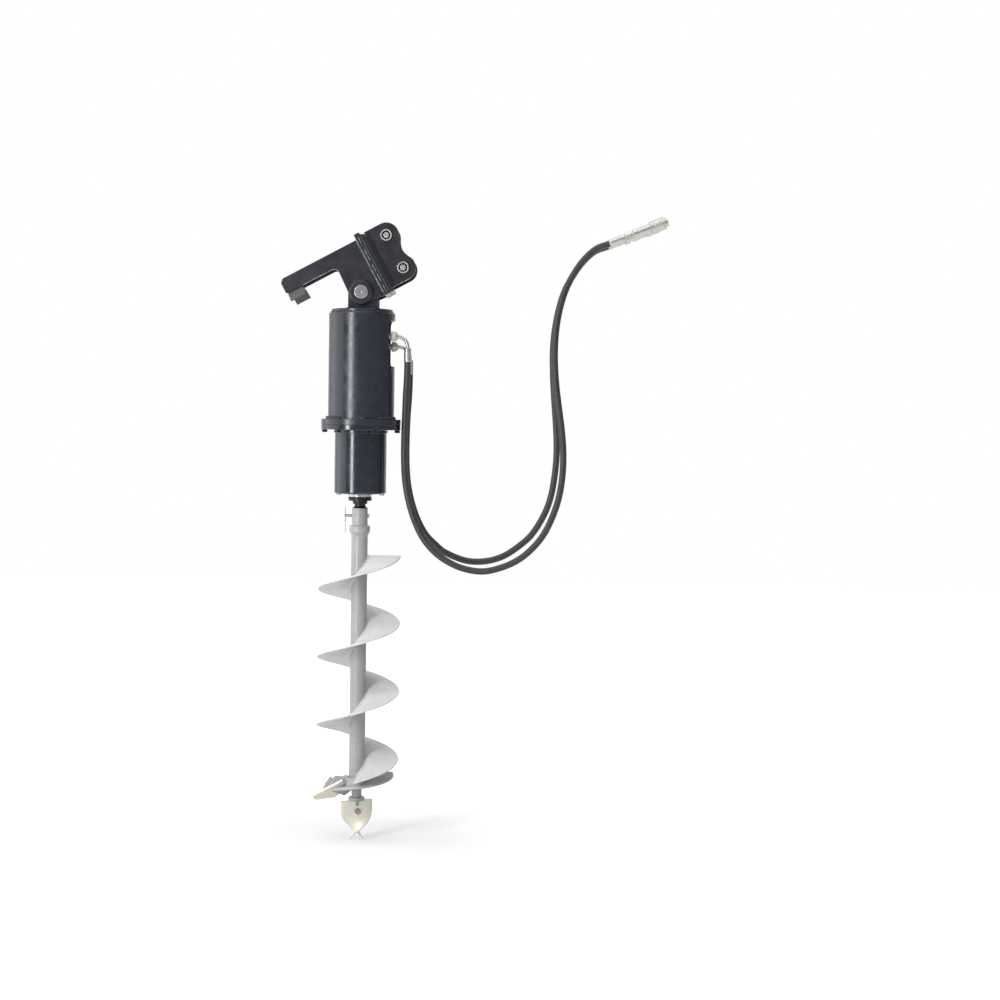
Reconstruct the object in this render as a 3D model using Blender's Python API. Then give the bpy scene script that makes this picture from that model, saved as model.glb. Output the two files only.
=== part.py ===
"""Earth auger drive: a pinned hitch frame with a cradle arm, a swinging hydraulic drive unit with a
planetary gearbox, two hoses with quick couplers, and the earth auger pinned on its output shaft.

Metres, +Z up. The origin lies midway between the two hitch pins, on the middle plane. +X points to the
carrying machine, and the view from -Y is the front view.
"""

import math

import bmesh
import bpy
from mathutils import Matrix, Quaternion, Vector

TAU = 2 * math.pi
RIGHT_ANGLE = math.pi / 2

# Clearances and working values
seat_gap = 0.0003
overrun = 0.002
weld_distance = 0.000001
large_round_steps = 32
round_steps = 20
small_round_steps = 12
bolt_steps = 8
lobe_steps = 8
nose_steps = 8
fillet_steps = 6
crown_steps = 12
window_corner_steps = 4
route_steps = 12
hose_bevel_resolution = 2

# Hitch frame, in its own tilted axes
hitch_tilt = math.radians(28.35)
hitch_pin_spacing = 0.132
hitch_pin_radius = 0.015
hitch_pin_head_radius = 0.021
hitch_pin_head_length = 0.009
hitch_pin_recess_radius = 0.016
hitch_pin_recess_depth = 0.007
pin_bolt_radius = 0.006
pin_bolt_head_radius = 0.011
pin_bolt_head_length = 0.0055
pin_nut_radius = 0.012
pin_nut_length = 0.010
pin_washer_radius = 0.021
pin_washer_length = 0.004
ear_lobe_radius = 0.046
ear_waist = 0.027
ear_thickness = 0.016
ear_outer_half = 0.075
base_plate_near = -0.0676
base_plate_thickness = 0.015
mount_plate_thickness = 0.0222
cross_plate_half_width = 0.100
cross_plate_low = -0.126
base_plate_high = 0.106
mount_plate_high = 0.1186
cross_plate_bevel = 0.003

# Frame side plates and cradle
frame_plate_outer_half = 0.065
frame_plate_thickness = 0.012
frame_plate_low = -0.123
frame_plate_high = 0.102
arm_tip = -0.420
arm_under = 0.047
arm_tip_chamfer_run = 0.013
arm_corner_radius = 0.020
frame_web_edge = -0.2145
pivot_x = -0.1756
pivot_z = -0.0733
pivot_nose_radius = 0.044
saddle_near = -0.357
saddle_far = -0.414
saddle_half_width = 0.110
saddle_drop = 0.030
saddle_thickness = 0.007
saddle_top_clear = seat_gap

# Pivot pin and its bosses
pivot_pin_radius = 0.025
pivot_pin_stand = 0.004
pivot_pin_edge = 0.003
pivot_boss_radius = 0.040
pivot_boss_length = 0.010
keeper_radius = 0.033
keeper_thickness = 0.008
keeper_bolt_radius = 0.012
keeper_bolt_head = 0.008

# Drive lugs and cap, all places given as distances below the pivot
lug_outer_half = 0.051
lug_thickness = 0.016
lug_radius = 0.049
lug_right = 0.060
lug_shoulder_angle = math.radians(30)
pivot_tube_radius = 0.035
cap_top = 0.060
cap_inset = 0.009
cap_thickness = 0.0120
cap_edge = 0.003

# Motor housing
housing_radius = 0.121
housing_wall = 0.010
housing_top_edge = 0.004
housing_foot = 0.461
flange_rim = 0.0245
upper_flange_thickness = 0.0217
window_top = 0.102
window_bottom = 0.267
window_width = 0.128
window_corner = 0.018

# Gearbox case
gearbox_flange_thickness = 0.0168
step_radius = 0.099
step_length = 0.012
gearbox_radius = 0.095
gearbox_floor = 0.014
gearbox_edge = 0.006
ring_gear_radius = 0.0825
ring_ledge_below_gears = 0.010
ring_gear_width = 0.050
carrier_chamber_radius = 0.066
carrier_chamber_clear = 0.007
bearing_radius = 0.050
bearing_width = 0.022
bearing_span = 0.115
shaft_hole_radius = 0.030

# Flange bolts
flange_bolt_count = 6
flange_bolt_stand = 0.013
flange_bolt_radius = 0.006
flange_bolt_head_radius = 0.010
flange_bolt_head_length = 0.010
flange_bolt_phase = math.radians(33.6)
flange_bolt_cover = 0.004

# Gears
gear_module = 0.003
sun_teeth = 12
planet_teeth = 18
ring_teeth = 48
planet_count = 3
pressure_angle = math.radians(20)
addendum_share = 0.95
dedendum_share = 1.2
tooth_backlash = 0.00025
gear_width = 0.040
gear_foot = 0.580
flank_steps = 2
planet_pin_radius = 0.008
planet_pin_stand = 0.007
carrier_radius = 0.062
carrier_clear = 0.004
carrier_thickness = 0.014
sun_shaft_radius = 0.013

# Motor
motor_plate_clear = 0.006
motor_plate_top = 0.467
motor_radius = 0.062
motor_top = 0.128
motor_head_below_port = 0.042
motor_rotor_radius = 0.068
motor_rotor_foot = 0.316
motor_body_radius = 0.058
motor_flange_radius = 0.082
motor_flange_top = 0.448
motor_shaft_bore = 0.014
motor_shaft_bore_depth = 0.060

# Output shaft, seal and slinger
shaft_radius = 0.027
shaft_spigot_radius = 0.020
shaft_stand = 0.012
shaft_nose_radius = 0.0205
shaft_nose_length = 0.096
seat_flare_radius = 0.028
seat_flare_length = 0.0065
seal_cover_radius = 0.0445
seal_cover_depth = 0.012
slinger_radius = 0.0428
slinger_depth = 0.014

# Auger
auger_top_clear = 0.015
auger_hub_radius = 0.029
hub_collar_radius = 0.038
hub_length = 0.063
hub_collar_rise = 0.003
hub_collar_length = 0.023
hub_taper_length = 0.017
auger_tube_radius = 0.030
auger_tube_length = 1.030
flight_radius = 0.1524
flight_end_rise = 0.042
flight_start_below_top = 0.173
flight_turns = 3.25
flight_thickness = 0.006
flight_steps_per_turn = 22
wing_start_rise = 0.049
wing_pitch = 0.100
wing_turns = 0.46
wing_lead = math.radians(20)
wing_thickness = 0.012
wing_start_radius = 0.140
wing_end_radius = 0.100
head_ring_radius = 0.042
head_ring_rise = 0.002
pilot_shank_radius = 0.0185
pilot_collar_radius = 0.030
pilot_shank_length = 0.033
pilot_collar_length = 0.018
pilot_width = 0.129
pilot_waist_width = 0.024
pilot_thickness = 0.016
pilot_point_length = 0.118
pilot_prong_length = 0.027
pilot_prong_spread = 0.026
pilot_prong_width = 0.012
pilot_taper_power = 2.5
pilot_twist = math.radians(90)
pilot_turn = math.radians(29)
pilot_tang_width = 0.013
pilot_tang_length = 0.021
pilot_tang_overlap = 0.004
pilot_rows = 14
pilot_bolt_radius = 0.0115
pilot_bolt_drop = 0.040
pilot_bolt_stand = 0.007
blade_inner = 0.052
blade_inner_rise = 0.020
blade_slope = math.radians(28)
blade_rake = math.radians(24)
blade_length = 0.132
blade_depth = 0.050
blade_thickness = 0.011
blade_tip_taper = 0.018
holder_inner = -0.020
holder_outer = 0.082
holder_depth = 0.044
holder_thickness = 0.015
holder_step = 0.008

# Cross pin and its clip
cross_pin_below_top = 0.029
cross_pin_radius = 0.0050
cross_pin_left = 0.058
cross_pin_right = 0.0305
cross_pin_head_radius = 0.0065
cross_pin_head_length = 0.0045
clip_wire_radius = 0.0015
clip_offset = 0.0535
clip_sides = 8

# Route of the clip's wire in Y and Z, from the pin's axis
clip_route = [
    (0, -0.0620),
    (0, 0.0210),
    (-0.0005, 0.0250),
    (-0.0024, 0.0275),
    (-0.0050, 0.0284),
    (-0.0076, 0.0275),
    (-0.0095, 0.0250),
    (-0.0095, 0.0215),
    (-0.0070, 0.0135),
    (-0.0054, 0.0090),
    (-0.0062, 0.0045),
    (-0.0074, 0),
    (-0.0062, -0.0045),
    (-0.0054, -0.0090),
    (-0.0075, -0.0150),
    (-0.0110, -0.0210),
]

# Ports, elbows and ferrules
upper_port_drop = 0.1575
lower_port_drop = 0.1940
port_offset = 0.020
adapter_flange_radius = 0.020
adapter_flange_length = 0.016
adapter_radius = 0.011
adapter_end = 0.108
swivel_nut_radius = 0.0202
swivel_nut_length = 0.024
elbow_radius = 0.0065
elbow_bend = 0.038
upper_elbow_reach = 0.1686
lower_elbow_reach = 0.1755
ferrule_radius = 0.0128
ferrule_length = 0.050
upper_ferrule_top = 0.1995
lower_ferrule_top = 0.2430
elbow_bend_steps = 6

# Hoses and couplers
hose_radius = 0.012
hose_point_spacing = 0.052
coupler_tilt = math.radians(21.35)
coupler_offset = 0.060
coupler_x = 0.7772
coupler_z = 0.0401
coupler_ferrule_radius = 0.014
coupler_ferrule_length = 0.057
coupler_neck_radius = 0.011
coupler_nut_radius = 0.0185
coupler_nut_start = 0.062
coupler_nut_end = 0.086
coupler_ring_radius = 0.0175
coupler_ring_start = 0.094
coupler_ring_end = 0.112
coupler_body_radius = 0.0165
coupler_length = 0.226
sleeve_radius = 0.023
sleeve_bore_radius = 0.0168
sleeve_start = 0.160
sleeve_end = 0.216
return_body_radius = 0.019
return_body_start = 0.150
return_body_end = 0.196
return_nose_radius = 0.012
coupler_socket_radius = 0.010
coupler_socket_depth = 0.030
coupler_start_gap = 0.0005

# Route of the supply hose, chosen by hand, from the ferrule to its coupler
supply_route = [
    (0.0489, -0.020, -0.3980),
    (0.0489, -0.020, -0.4268),
    (0.0477, -0.021, -0.4698),
    (0.0452, -0.022, -0.5201),
    (0.0432, -0.023, -0.5895),
    (0.0413, -0.024, -0.6660),
    (0.0414, -0.026, -0.7425),
    (0.0445, -0.028, -0.8082),
    (0.0522, -0.031, -0.8666),
    (0.0655, -0.034, -0.9252),
    (0.0858, -0.038, -0.9836),
    (0.1149, -0.042, -1.0401),
    (0.1549, -0.046, -1.0873),
    (0.2032, -0.049, -1.1225),
    (0.2624, -0.053, -1.1481),
    (0.3323, -0.056, -1.1581),
    (0.3982, -0.059, -1.1442),
    (0.4602, -0.062, -1.1158),
    (0.5110, -0.065, -1.0746),
    (0.5542, -0.067, -1.0208),
    (0.5863, -0.069, -0.9542),
    (0.6091, -0.070, -0.8804),
    (0.6204, -0.071, -0.7995),
    (0.6217, -0.071, -0.7187),
    (0.6147, -0.071, -0.6380),
    (0.6032, -0.070, -0.5573),
    (0.5924, -0.069, -0.4768),
    (0.5861, -0.068, -0.3960),
    (0.5857, -0.067, -0.3225),
    (0.5921, -0.066, -0.2490),
    (0.6057, -0.065, -0.1790),
    (0.6261, -0.063, -0.1181),
    (0.6522, -0.062, -0.0681),
    (0.6864, -0.061, -0.0191),
    (0.7293, -0.060, 0.0206),
    (0.7772, -0.060, 0.0401),
]

# Route of the return hose, the inner loop
return_route = [
    (0.0558, 0.020, -0.4414),
    (0.0558, 0.020, -0.4698),
    (0.0538, 0.021, -0.5267),
    (0.0488, 0.022, -0.6114),
    (0.0469, 0.024, -0.7025),
    (0.0479, 0.026, -0.7753),
    (0.0542, 0.028, -0.8446),
    (0.0680, 0.031, -0.9103),
    (0.0911, 0.034, -0.9761),
    (0.1213, 0.038, -1.0306),
    (0.1586, 0.042, -1.0689),
    (0.1958, 0.045, -1.0977),
    (0.2696, 0.050, -1.1263),
    (0.3431, 0.054, -1.1281),
    (0.4162, 0.058, -1.1054),
    (0.4889, 0.062, -1.0529),
    (0.5250, 0.064, -1.0120),
    (0.5607, 0.066, -0.9490),
    (0.5819, 0.067, -0.8885),
    (0.5938, 0.068, -0.8222),
    (0.6008, 0.069, -0.7486),
    (0.6008, 0.069, -0.6752),
    (0.5960, 0.069, -0.6017),
    (0.5893, 0.068, -0.5210),
    (0.5841, 0.068, -0.4403),
    (0.5820, 0.067, -0.3522),
    (0.5875, 0.066, -0.2712),
    (0.6019, 0.065, -0.1901),
    (0.6229, 0.063, -0.1228),
    (0.6511, 0.062, -0.0693),
    (0.6864, 0.061, -0.0191),
    (0.7293, 0.060, 0.0206),
    (0.7772, 0.060, 0.0401),
]

# Values that follow from the sizes above
ear_inner_half = ear_outer_half - ear_thickness
frame_plate_inner_half = frame_plate_outer_half - frame_plate_thickness
lug_inner_half = lug_outer_half - lug_thickness
mount_plate_near = base_plate_near - base_plate_thickness - seat_gap
mount_plate_far = mount_plate_near - mount_plate_thickness
frame_plate_edge = mount_plate_far - seat_gap
housing_top = cap_top + cap_thickness + seat_gap
upper_flange_foot = housing_foot + upper_flange_thickness
gearbox_top = upper_flange_foot + seat_gap
gearbox_flange_foot = gearbox_top + gearbox_flange_thickness
motor_plate_foot = gearbox_top - seat_gap
sun_pitch_radius = sun_teeth * gear_module / 2
planet_pitch_radius = planet_teeth * gear_module / 2
planet_circle = sun_pitch_radius + planet_pitch_radius
cap_radius = housing_radius - cap_inset
flange_radius = housing_radius + flange_rim
flange_bolt_circle = housing_radius + flange_bolt_stand
motor_plate_radius = housing_radius - housing_wall - motor_plate_clear
motor_head_foot = lower_port_drop + motor_head_below_port
ring_ledge = gear_foot + ring_ledge_below_gears
planet_pin_top = gear_foot - gear_width - planet_pin_stand
carrier_top = gear_foot + carrier_clear
carrier_chamber_foot = carrier_top + carrier_thickness + carrier_chamber_clear
bearing_seat_foot = carrier_chamber_foot + bearing_span
gearbox_bottom = bearing_seat_foot + gearbox_floor
seal_cover_foot = gearbox_bottom + seal_cover_depth
slinger_foot = seal_cover_foot + slinger_depth
shaft_shoulder = slinger_foot + shaft_stand
shaft_nose_foot = shaft_shoulder + shaft_nose_length
auger_top = shaft_shoulder + auger_top_clear
seat_flare_foot = auger_top - seat_gap
seat_flare_top = seat_flare_foot - seat_flare_length
cross_pin_drop = auger_top + cross_pin_below_top
hub_collar_top = auger_top + hub_length
hub_collar_foot = hub_collar_top + hub_collar_length
hub_taper_foot = hub_collar_foot + hub_taper_length
auger_tube_foot = auger_top + auger_tube_length
flight_start = auger_top + flight_start_below_top
flight_pitch = (auger_tube_foot - flight_end_rise - flight_start) / flight_turns
wing_start = auger_tube_foot - wing_start_rise
head_ring_top = auger_tube_foot - flight_end_rise + flight_thickness + seat_gap
head_ring_foot = auger_tube_foot - head_ring_rise
blade_inner_drop = auger_tube_foot - blade_inner_rise
pilot_collar_top = auger_tube_foot + pilot_shank_length
pilot_collar_foot = pilot_collar_top + pilot_collar_length
pilot_waist = pilot_collar_foot + pilot_point_length
pilot_prong_foot = pilot_waist + pilot_prong_length
coupler_direction = Vector((math.cos(coupler_tilt), 0, math.sin(coupler_tilt)))


def clear_scene():
    """Removes what the scene holds."""
    for old in list(bpy.data.objects):
        bpy.data.objects.remove(old, do_unlink=True)


def paint(name, colour, roughness, metallic):
    """A plain Principled material."""
    made = bpy.data.materials.new(name)
    made.use_nodes = True
    shader = made.node_tree.nodes["Principled BSDF"]
    shader.inputs["Base Color"].default_value = (*colour, 1)
    shader.inputs["Roughness"].default_value = roughness
    shader.inputs["Metallic"].default_value = metallic
    return made


def finish_mesh(name, bm, look, parent, place=None):
    """Turns the working mesh into a named object under its parent, shaded smooth where it is round."""
    bmesh.ops.remove_doubles(bm, verts=bm.verts, dist=weld_distance)
    bmesh.ops.recalc_face_normals(bm, faces=bm.faces)
    mesh = bpy.data.meshes.new(name)
    bm.to_mesh(mesh)
    bm.free()
    mesh.shade_smooth()
    mesh.set_sharp_from_angle(angle=math.radians(35))
    made = bpy.data.objects.new(name, mesh)
    bpy.context.scene.collection.objects.link(made)
    made.data.materials.append(look)
    made.parent = parent
    if place is not None:
        made.matrix_local = place
    return made


def empty(name, parent=None, place=None):
    """An axis that other objects are placed by."""
    made = bpy.data.objects.new(name, None)
    bpy.context.scene.collection.objects.link(made)
    made.parent = parent
    if place is not None:
        made.matrix_local = place
    return made


def along(start, direction):
    """The placement that puts local Z along a direction, from a start point."""
    turn = Vector((0, 0, 1)).rotation_difference(Vector(direction)).to_matrix().to_4x4()
    return Matrix.Translation(Vector(start)) @ turn


def turned(name, profile, look, parent, place=None, steps=round_steps):
    """A body of revolution about Z. The profile is radius and height, and closes on itself off the axis."""
    bm = bmesh.new()
    verts = [bm.verts.new((radius, 0, height)) for radius, height in profile]
    edges = [bm.edges.new(pair) for pair in zip(verts, verts[1:])]
    if profile[0][0] > 0:
        edges.append(bm.edges.new((verts[-1], verts[0])))
    bmesh.ops.spin(
        bm, geom=verts + edges, cent=(0, 0, 0), axis=(0, 0, 1), angle=TAU, steps=steps, use_merge=True
    )
    return finish_mesh(name, bm, look, parent, place)


def sleeve_profile(outer, inner, low, high):
    """The profile of a plain ring or bush."""
    return [(outer, high), (outer, low), (inner, low), (inner, high)]


def rod_profile(radius, low, high):
    """The profile of a plain round bar."""
    return [(0, high), (radius, high), (radius, low), (0, low)]


def prism(name, outline, near, far, look, parent, place=None):
    """An outline in X and Z, carried along Y from near to far."""
    bm = bmesh.new()
    face = bm.faces.new([bm.verts.new((x, near, z)) for x, z in outline])
    made = bmesh.ops.extrude_face_region(bm, geom=[face])
    moved = [item for item in made["geom"] if isinstance(item, bmesh.types.BMVert)]
    bmesh.ops.translate(bm, verts=moved, vec=(0, far - near, 0))
    return finish_mesh(name, bm, look, parent, place)


def upright(name, outline, low, high, look, parent, place=None):
    """An outline in X and Y, carried along Z from low to high."""
    bm = bmesh.new()
    face = bm.faces.new([bm.verts.new((x, y, low)) for x, y in outline])
    made = bmesh.ops.extrude_face_region(bm, geom=[face])
    moved = [item for item in made["geom"] if isinstance(item, bmesh.types.BMVert)]
    bmesh.ops.translate(bm, verts=moved, vec=(0, 0, high - low))
    return finish_mesh(name, bm, look, parent, place)


def arc(centre, radius, start, end, steps):
    """Points on an arc, with its angles in degrees, both ends included."""
    angles = [math.radians(start + (end - start) * i / steps) for i in range(steps + 1)]
    return [(centre[0] + radius * math.cos(a), centre[1] + radius * math.sin(a)) for a in angles]


def polygon(radius, sides, turn=0.0):
    """A regular polygon."""
    return [
        (radius * math.cos(turn + TAU * i / sides), radius * math.sin(turn + TAU * i / sides))
        for i in range(sides)
    ]


def helper(made):
    """Marks an object as a cutter or an added form, which is not a piece of its own."""
    made.hide_render = True
    made.display_type = "WIRE"
    return made


def combine(piece, operation, *others):
    """Cuts or joins other forms with a piece by live Booleans."""
    for other in others:
        helper(other)
        step = piece.modifiers.new(f"{operation.lower()}_{other.name}", "BOOLEAN")
        step.operation = operation
        step.object = other
        step.solver = "EXACT"
    return piece


def cut(piece, *others):
    return combine(piece, "DIFFERENCE", *others)


def join(piece, *others):
    return combine(piece, "UNION", *others)


def bar(name, start, end, radius, look, parent, steps=small_round_steps):
    """A round bar between two points."""
    start, end = Vector(start), Vector(end)
    return turned(
        name, rod_profile(radius, 0, (end - start).length), look, parent, along(start, end - start), steps
    )


def bore_radius(pin_radius, steps=round_steps):
    """The corner radius of a faceted bore whose flats stay one seat gap off a pin at any turn."""
    return (pin_radius + seat_gap) / math.cos(math.pi / steps)


def drill(name, start, end, radius, look, parent, steps=round_steps):
    """A cutter between two points for the hole of a pin of this radius."""
    return bar(name, start, end, bore_radius(radius, steps), look, parent, steps)


def swept(name, points, radii, sides, look, parent):
    """A round body along a path in one plane, with its own radius at each point."""
    bm = bmesh.new()
    rings = []
    heading = Vector((0, 0, 1))
    turn = Quaternion()
    for i, point in enumerate(points):
        before = points[max(i - 1, 0)]
        after = points[min(i + 1, len(points) - 1)]
        ahead = (after - before).normalized()
        turn = heading.rotation_difference(ahead) @ turn
        heading = ahead
        circle = [Vector((x, y, 0)) for x, y in polygon(radii[i], sides)]
        ring = [bm.verts.new(point + turn @ corner) for corner in circle]
        rings.append(ring)
    for low, high in zip(rings, rings[1:]):
        for k in range(sides):
            bm.faces.new((low[k], low[(k + 1) % sides], high[(k + 1) % sides], high[k]))
    bm.faces.new(rings[0])
    bm.faces.new(rings[-1])
    return finish_mesh(name, bm, look, parent)


def lobed_outline():
    """The ear: a lobe round each hitch pin, a tangent hollow between them, and a straight foot."""
    half = hitch_pin_spacing / 2
    hollow = (half**2 - ear_lobe_radius**2 + ear_waist**2) / (2 * (ear_lobe_radius - ear_waist))
    centre = ear_waist + hollow
    lean = math.degrees(math.atan2(half, centre))
    foot = base_plate_near + seat_gap
    end = half + ear_lobe_radius
    low = arc((0, -half), ear_lobe_radius, -90, lean, lobe_steps)
    middle = arc((centre, 0), hollow, 180 + lean, 180 - lean, lobe_steps)
    high = arc((0, half), ear_lobe_radius, -lean, 90, lobe_steps)
    return low + middle[1:-1] + high + [(foot, end), (foot, -end)]


def frame_outline():
    """One side plate of the frame: the web behind the mount plate, the pivot nose and the cradle arm."""
    nose = arc((pivot_x, pivot_z), pivot_nose_radius, -90, -180, nose_steps)
    corner = (frame_web_edge - arm_corner_radius, arm_under - arm_corner_radius)
    fillet = arc(corner, arm_corner_radius, 0, 90, fillet_steps)
    return (
        [(frame_plate_edge, frame_plate_low), (pivot_x, pivot_z - pivot_nose_radius)]
        + nose[1:]
        + fillet
        + [
            (arm_tip, arm_under),
            (arm_tip, frame_plate_high - arm_tip_chamfer_run),
            (arm_tip + arm_tip_chamfer_run, frame_plate_high),
            (frame_plate_edge, frame_plate_high),
        ]
    )


def build_hitch(hitch, steel, bright, saddle_steel):
    """The frame that the machine grabs: ears, pins, plates, bosses, pivot pin and saddle."""
    sideways = Matrix.Rotation(RIGHT_ANGLE, 4, "X")
    half = hitch_pin_spacing / 2
    for side, place in (("front", -1), ("rear", 1)):
        near, far = place * ear_inner_half, place * ear_outer_half
        ear = prism(f"hitch_ear_{side}", lobed_outline(), near, far, steel, hitch)
        for level, height in (("upper", half), ("lower", -half)):
            hole = drill(
                f"ear_drill_{side}_{level}",
                (0, place * (ear_inner_half - overrun), height),
                (0, place * (ear_outer_half + overrun), height),
                hitch_pin_radius,
                steel,
                hitch,
            )
            cut(ear, hole)
        plate = prism(
            f"frame_plate_{side}",
            frame_outline(),
            place * frame_plate_inner_half,
            place * frame_plate_outer_half,
            steel,
            hitch,
        )
        cut(
            plate,
            drill(
                f"pivot_drill_{side}",
                (pivot_x, place * (frame_plate_inner_half - overrun), pivot_z),
                (pivot_x, place * (frame_plate_outer_half + overrun), pivot_z),
                pivot_pin_radius,
                steel,
                hitch,
            ),
        )
        boss_start = frame_plate_outer_half + seat_gap
        boss_place = Matrix.Translation((pivot_x, 0, pivot_z)) @ sideways
        ends = sorted((-place * boss_start, -place * (boss_start + pivot_boss_length)))
        turned(
            f"pivot_boss_{side}",
            sleeve_profile(pivot_boss_radius, bore_radius(pivot_pin_radius), ends[0], ends[1]),
            steel,
            hitch,
            boss_place,
        )

    for name, far, near, high in (
        ("hitch_base_plate", base_plate_near - base_plate_thickness, base_plate_near, base_plate_high),
        ("frame_mount_plate", mount_plate_far, mount_plate_near, mount_plate_high),
    ):
        outline = [(far, cross_plate_low), (near, cross_plate_low), (near, high), (far, high)]
        cross = prism(name, outline, -cross_plate_half_width, cross_plate_half_width, steel, hitch)
        edge = cross.modifiers.new("edge", "BEVEL")
        edge.width = cross_plate_bevel
        edge.segments = 1

    for level, height in (("upper", half), ("lower", -half)):
        axis = Matrix.Translation((0, 0, height)) @ sideways
        head_seat = ear_outer_half + seat_gap
        head_end = head_seat + hitch_pin_head_length
        recess_foot = head_end - hitch_pin_recess_depth
        bore = pin_bolt_radius + seat_gap
        turned(
            f"{level}_hitch_pin",
            [
                (hitch_pin_head_radius, head_end),
                (hitch_pin_head_radius, head_seat),
                (hitch_pin_radius, head_seat),
                (hitch_pin_radius, -ear_outer_half),
                (bore, -ear_outer_half),
                (bore, recess_foot),
                (hitch_pin_recess_radius, recess_foot),
                (hitch_pin_recess_radius, head_end),
            ],
            bright,
            hitch,
            axis,
            small_round_steps,
        )
        bolt_seat = recess_foot + seat_gap
        washer_seat = -ear_outer_half - seat_gap
        washer_foot = washer_seat - pin_washer_length
        bolt = turned(
            f"{level}_pin_bolt",
            [
                (0, bolt_seat + pin_bolt_head_length),
                (pin_bolt_head_radius, bolt_seat + pin_bolt_head_length),
                (pin_bolt_head_radius, bolt_seat),
                (pin_bolt_radius, bolt_seat),
                (pin_bolt_radius, washer_seat),
                (pin_washer_radius, washer_seat),
                (pin_washer_radius, washer_foot),
                (0, washer_foot),
            ],
            bright,
            hitch,
            axis,
            small_round_steps,
        )
        nut = upright(
            f"{level}_pin_nut_form",
            polygon(pin_nut_radius, 6),
            washer_foot - pin_nut_length,
            washer_foot + pin_washer_length / 2,
            bright,
            hitch,
            axis,
        )
        join(bolt, nut)

    build_pivot_pin(hitch, bright, sideways)
    build_saddle(hitch, saddle_steel)


def build_pivot_pin(hitch, bright, sideways):
    """The pin the drive swings on, and the disc that keeps it in at the rear."""
    boss_end = frame_plate_outer_half + seat_gap + pivot_boss_length
    axis = Matrix.Translation((pivot_x, 0, pivot_z)) @ sideways
    pin_end = boss_end + pivot_pin_stand
    turned(
        "pivot_pin",
        [
            (0, pin_end),
            (pivot_pin_radius - pivot_pin_edge, pin_end),
            (pivot_pin_radius, pin_end - pivot_pin_edge),
            (pivot_pin_radius, -boss_end),
            (0, -boss_end),
        ],
        bright,
        hitch,
        axis,
    )
    seat = -boss_end - seat_gap
    keeper = turned(
        "pivot_pin_keeper", rod_profile(keeper_radius, seat - keeper_thickness, seat), bright, hitch, axis
    )
    head = upright(
        "keeper_bolt_form",
        polygon(keeper_bolt_radius, 6),
        seat - keeper_thickness - keeper_bolt_head,
        seat - keeper_thickness / 2,
        bright,
        hitch,
        axis,
    )
    join(keeper, head)


def build_saddle(hitch, look):
    """The folded plate under the arm's tip that the drive's housing rests in when it is folded up."""
    top = arm_under - saddle_top_clear
    slope = math.atan2(saddle_drop, saddle_half_width - frame_plate_outer_half)
    lower = saddle_thickness / math.cos(slope)
    bend = saddle_thickness * math.tan(slope / 2)
    bm = bmesh.new()
    flat = frame_plate_outer_half
    outline = [
        (-saddle_half_width, top - saddle_drop),
        (-flat, top),
        (flat, top),
        (saddle_half_width, top - saddle_drop),
        (saddle_half_width, top - saddle_drop - lower),
        (flat - bend, top - saddle_thickness),
        (bend - flat, top - saddle_thickness),
        (-saddle_half_width, top - saddle_drop - lower),
    ]
    face = bm.faces.new([bm.verts.new((saddle_far, y, z)) for y, z in outline])
    made = bmesh.ops.extrude_face_region(bm, geom=[face])
    moved = [item for item in made["geom"] if isinstance(item, bmesh.types.BMVert)]
    bmesh.ops.translate(bm, verts=moved, vec=(saddle_near - saddle_far, 0, 0))
    return finish_mesh("cradle_saddle", bm, look, hitch)


def lug_outline():
    """A lug: round over the pivot, with straight sides down to the cap, the right one further out."""
    crown = arc((0, 0), lug_radius, math.degrees(lug_shoulder_angle), 180, crown_steps)
    slant = (lug_right - lug_radius * math.cos(lug_shoulder_angle)) / math.sin(lug_shoulder_angle)
    shoulder = lug_radius * math.sin(lug_shoulder_angle) - slant * math.cos(lug_shoulder_angle)
    foot = -cap_top + seat_gap
    return crown + [(-lug_radius, foot), (lug_right, foot), (lug_right, shoulder)]


def build_drive_shell(drive, paints, bright):
    """Lugs, pivot tube, top cap and the motor housing with its window and flange."""
    for side, place in (("front", -1), ("rear", 1)):
        near, far = place * lug_inner_half, place * lug_outer_half
        lug = prism(f"lug_{side}", lug_outline(), near, far, paints, drive)
        cut(
            lug,
            drill(
                f"lug_drill_{side}",
                (0, place * (lug_inner_half - overrun), 0),
                (0, place * (lug_outer_half + overrun), 0),
                pivot_tube_radius,
                paints,
                drive,
            ),
        )
    turned(
        "pivot_tube",
        sleeve_profile(pivot_tube_radius, bore_radius(pivot_pin_radius), -lug_outer_half, lug_outer_half),
        bright,
        drive,
        Matrix.Rotation(RIGHT_ANGLE, 4, "X"),
    )
    turned(
        "top_cap",
        [
            (0, -cap_top),
            (cap_radius - cap_edge, -cap_top),
            (cap_radius, -cap_top - cap_edge),
            (cap_radius, -cap_top - cap_thickness),
            (0, -cap_top - cap_thickness),
        ],
        paints,
        drive,
        steps=large_round_steps,
    )
    inner = housing_radius - housing_wall
    housing = turned(
        "motor_housing",
        [
            (0, -housing_top),
            (housing_radius - housing_top_edge, -housing_top),
            (housing_radius, -housing_top - housing_top_edge),
            (housing_radius, -housing_foot),
            (flange_radius, -housing_foot),
            (flange_radius, -upper_flange_foot),
            (inner, -upper_flange_foot),
            (inner, -housing_top - housing_wall),
            (0, -housing_top - housing_wall),
        ],
        paints,
        drive,
        steps=large_round_steps,
    )
    blind_top = housing_foot + flange_bolt_cover + overrun
    holes = bolt_drills(drive, paints, "housing", blind_top, upper_flange_foot)
    cut(housing, window_cutter(drive, paints), holes)


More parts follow.
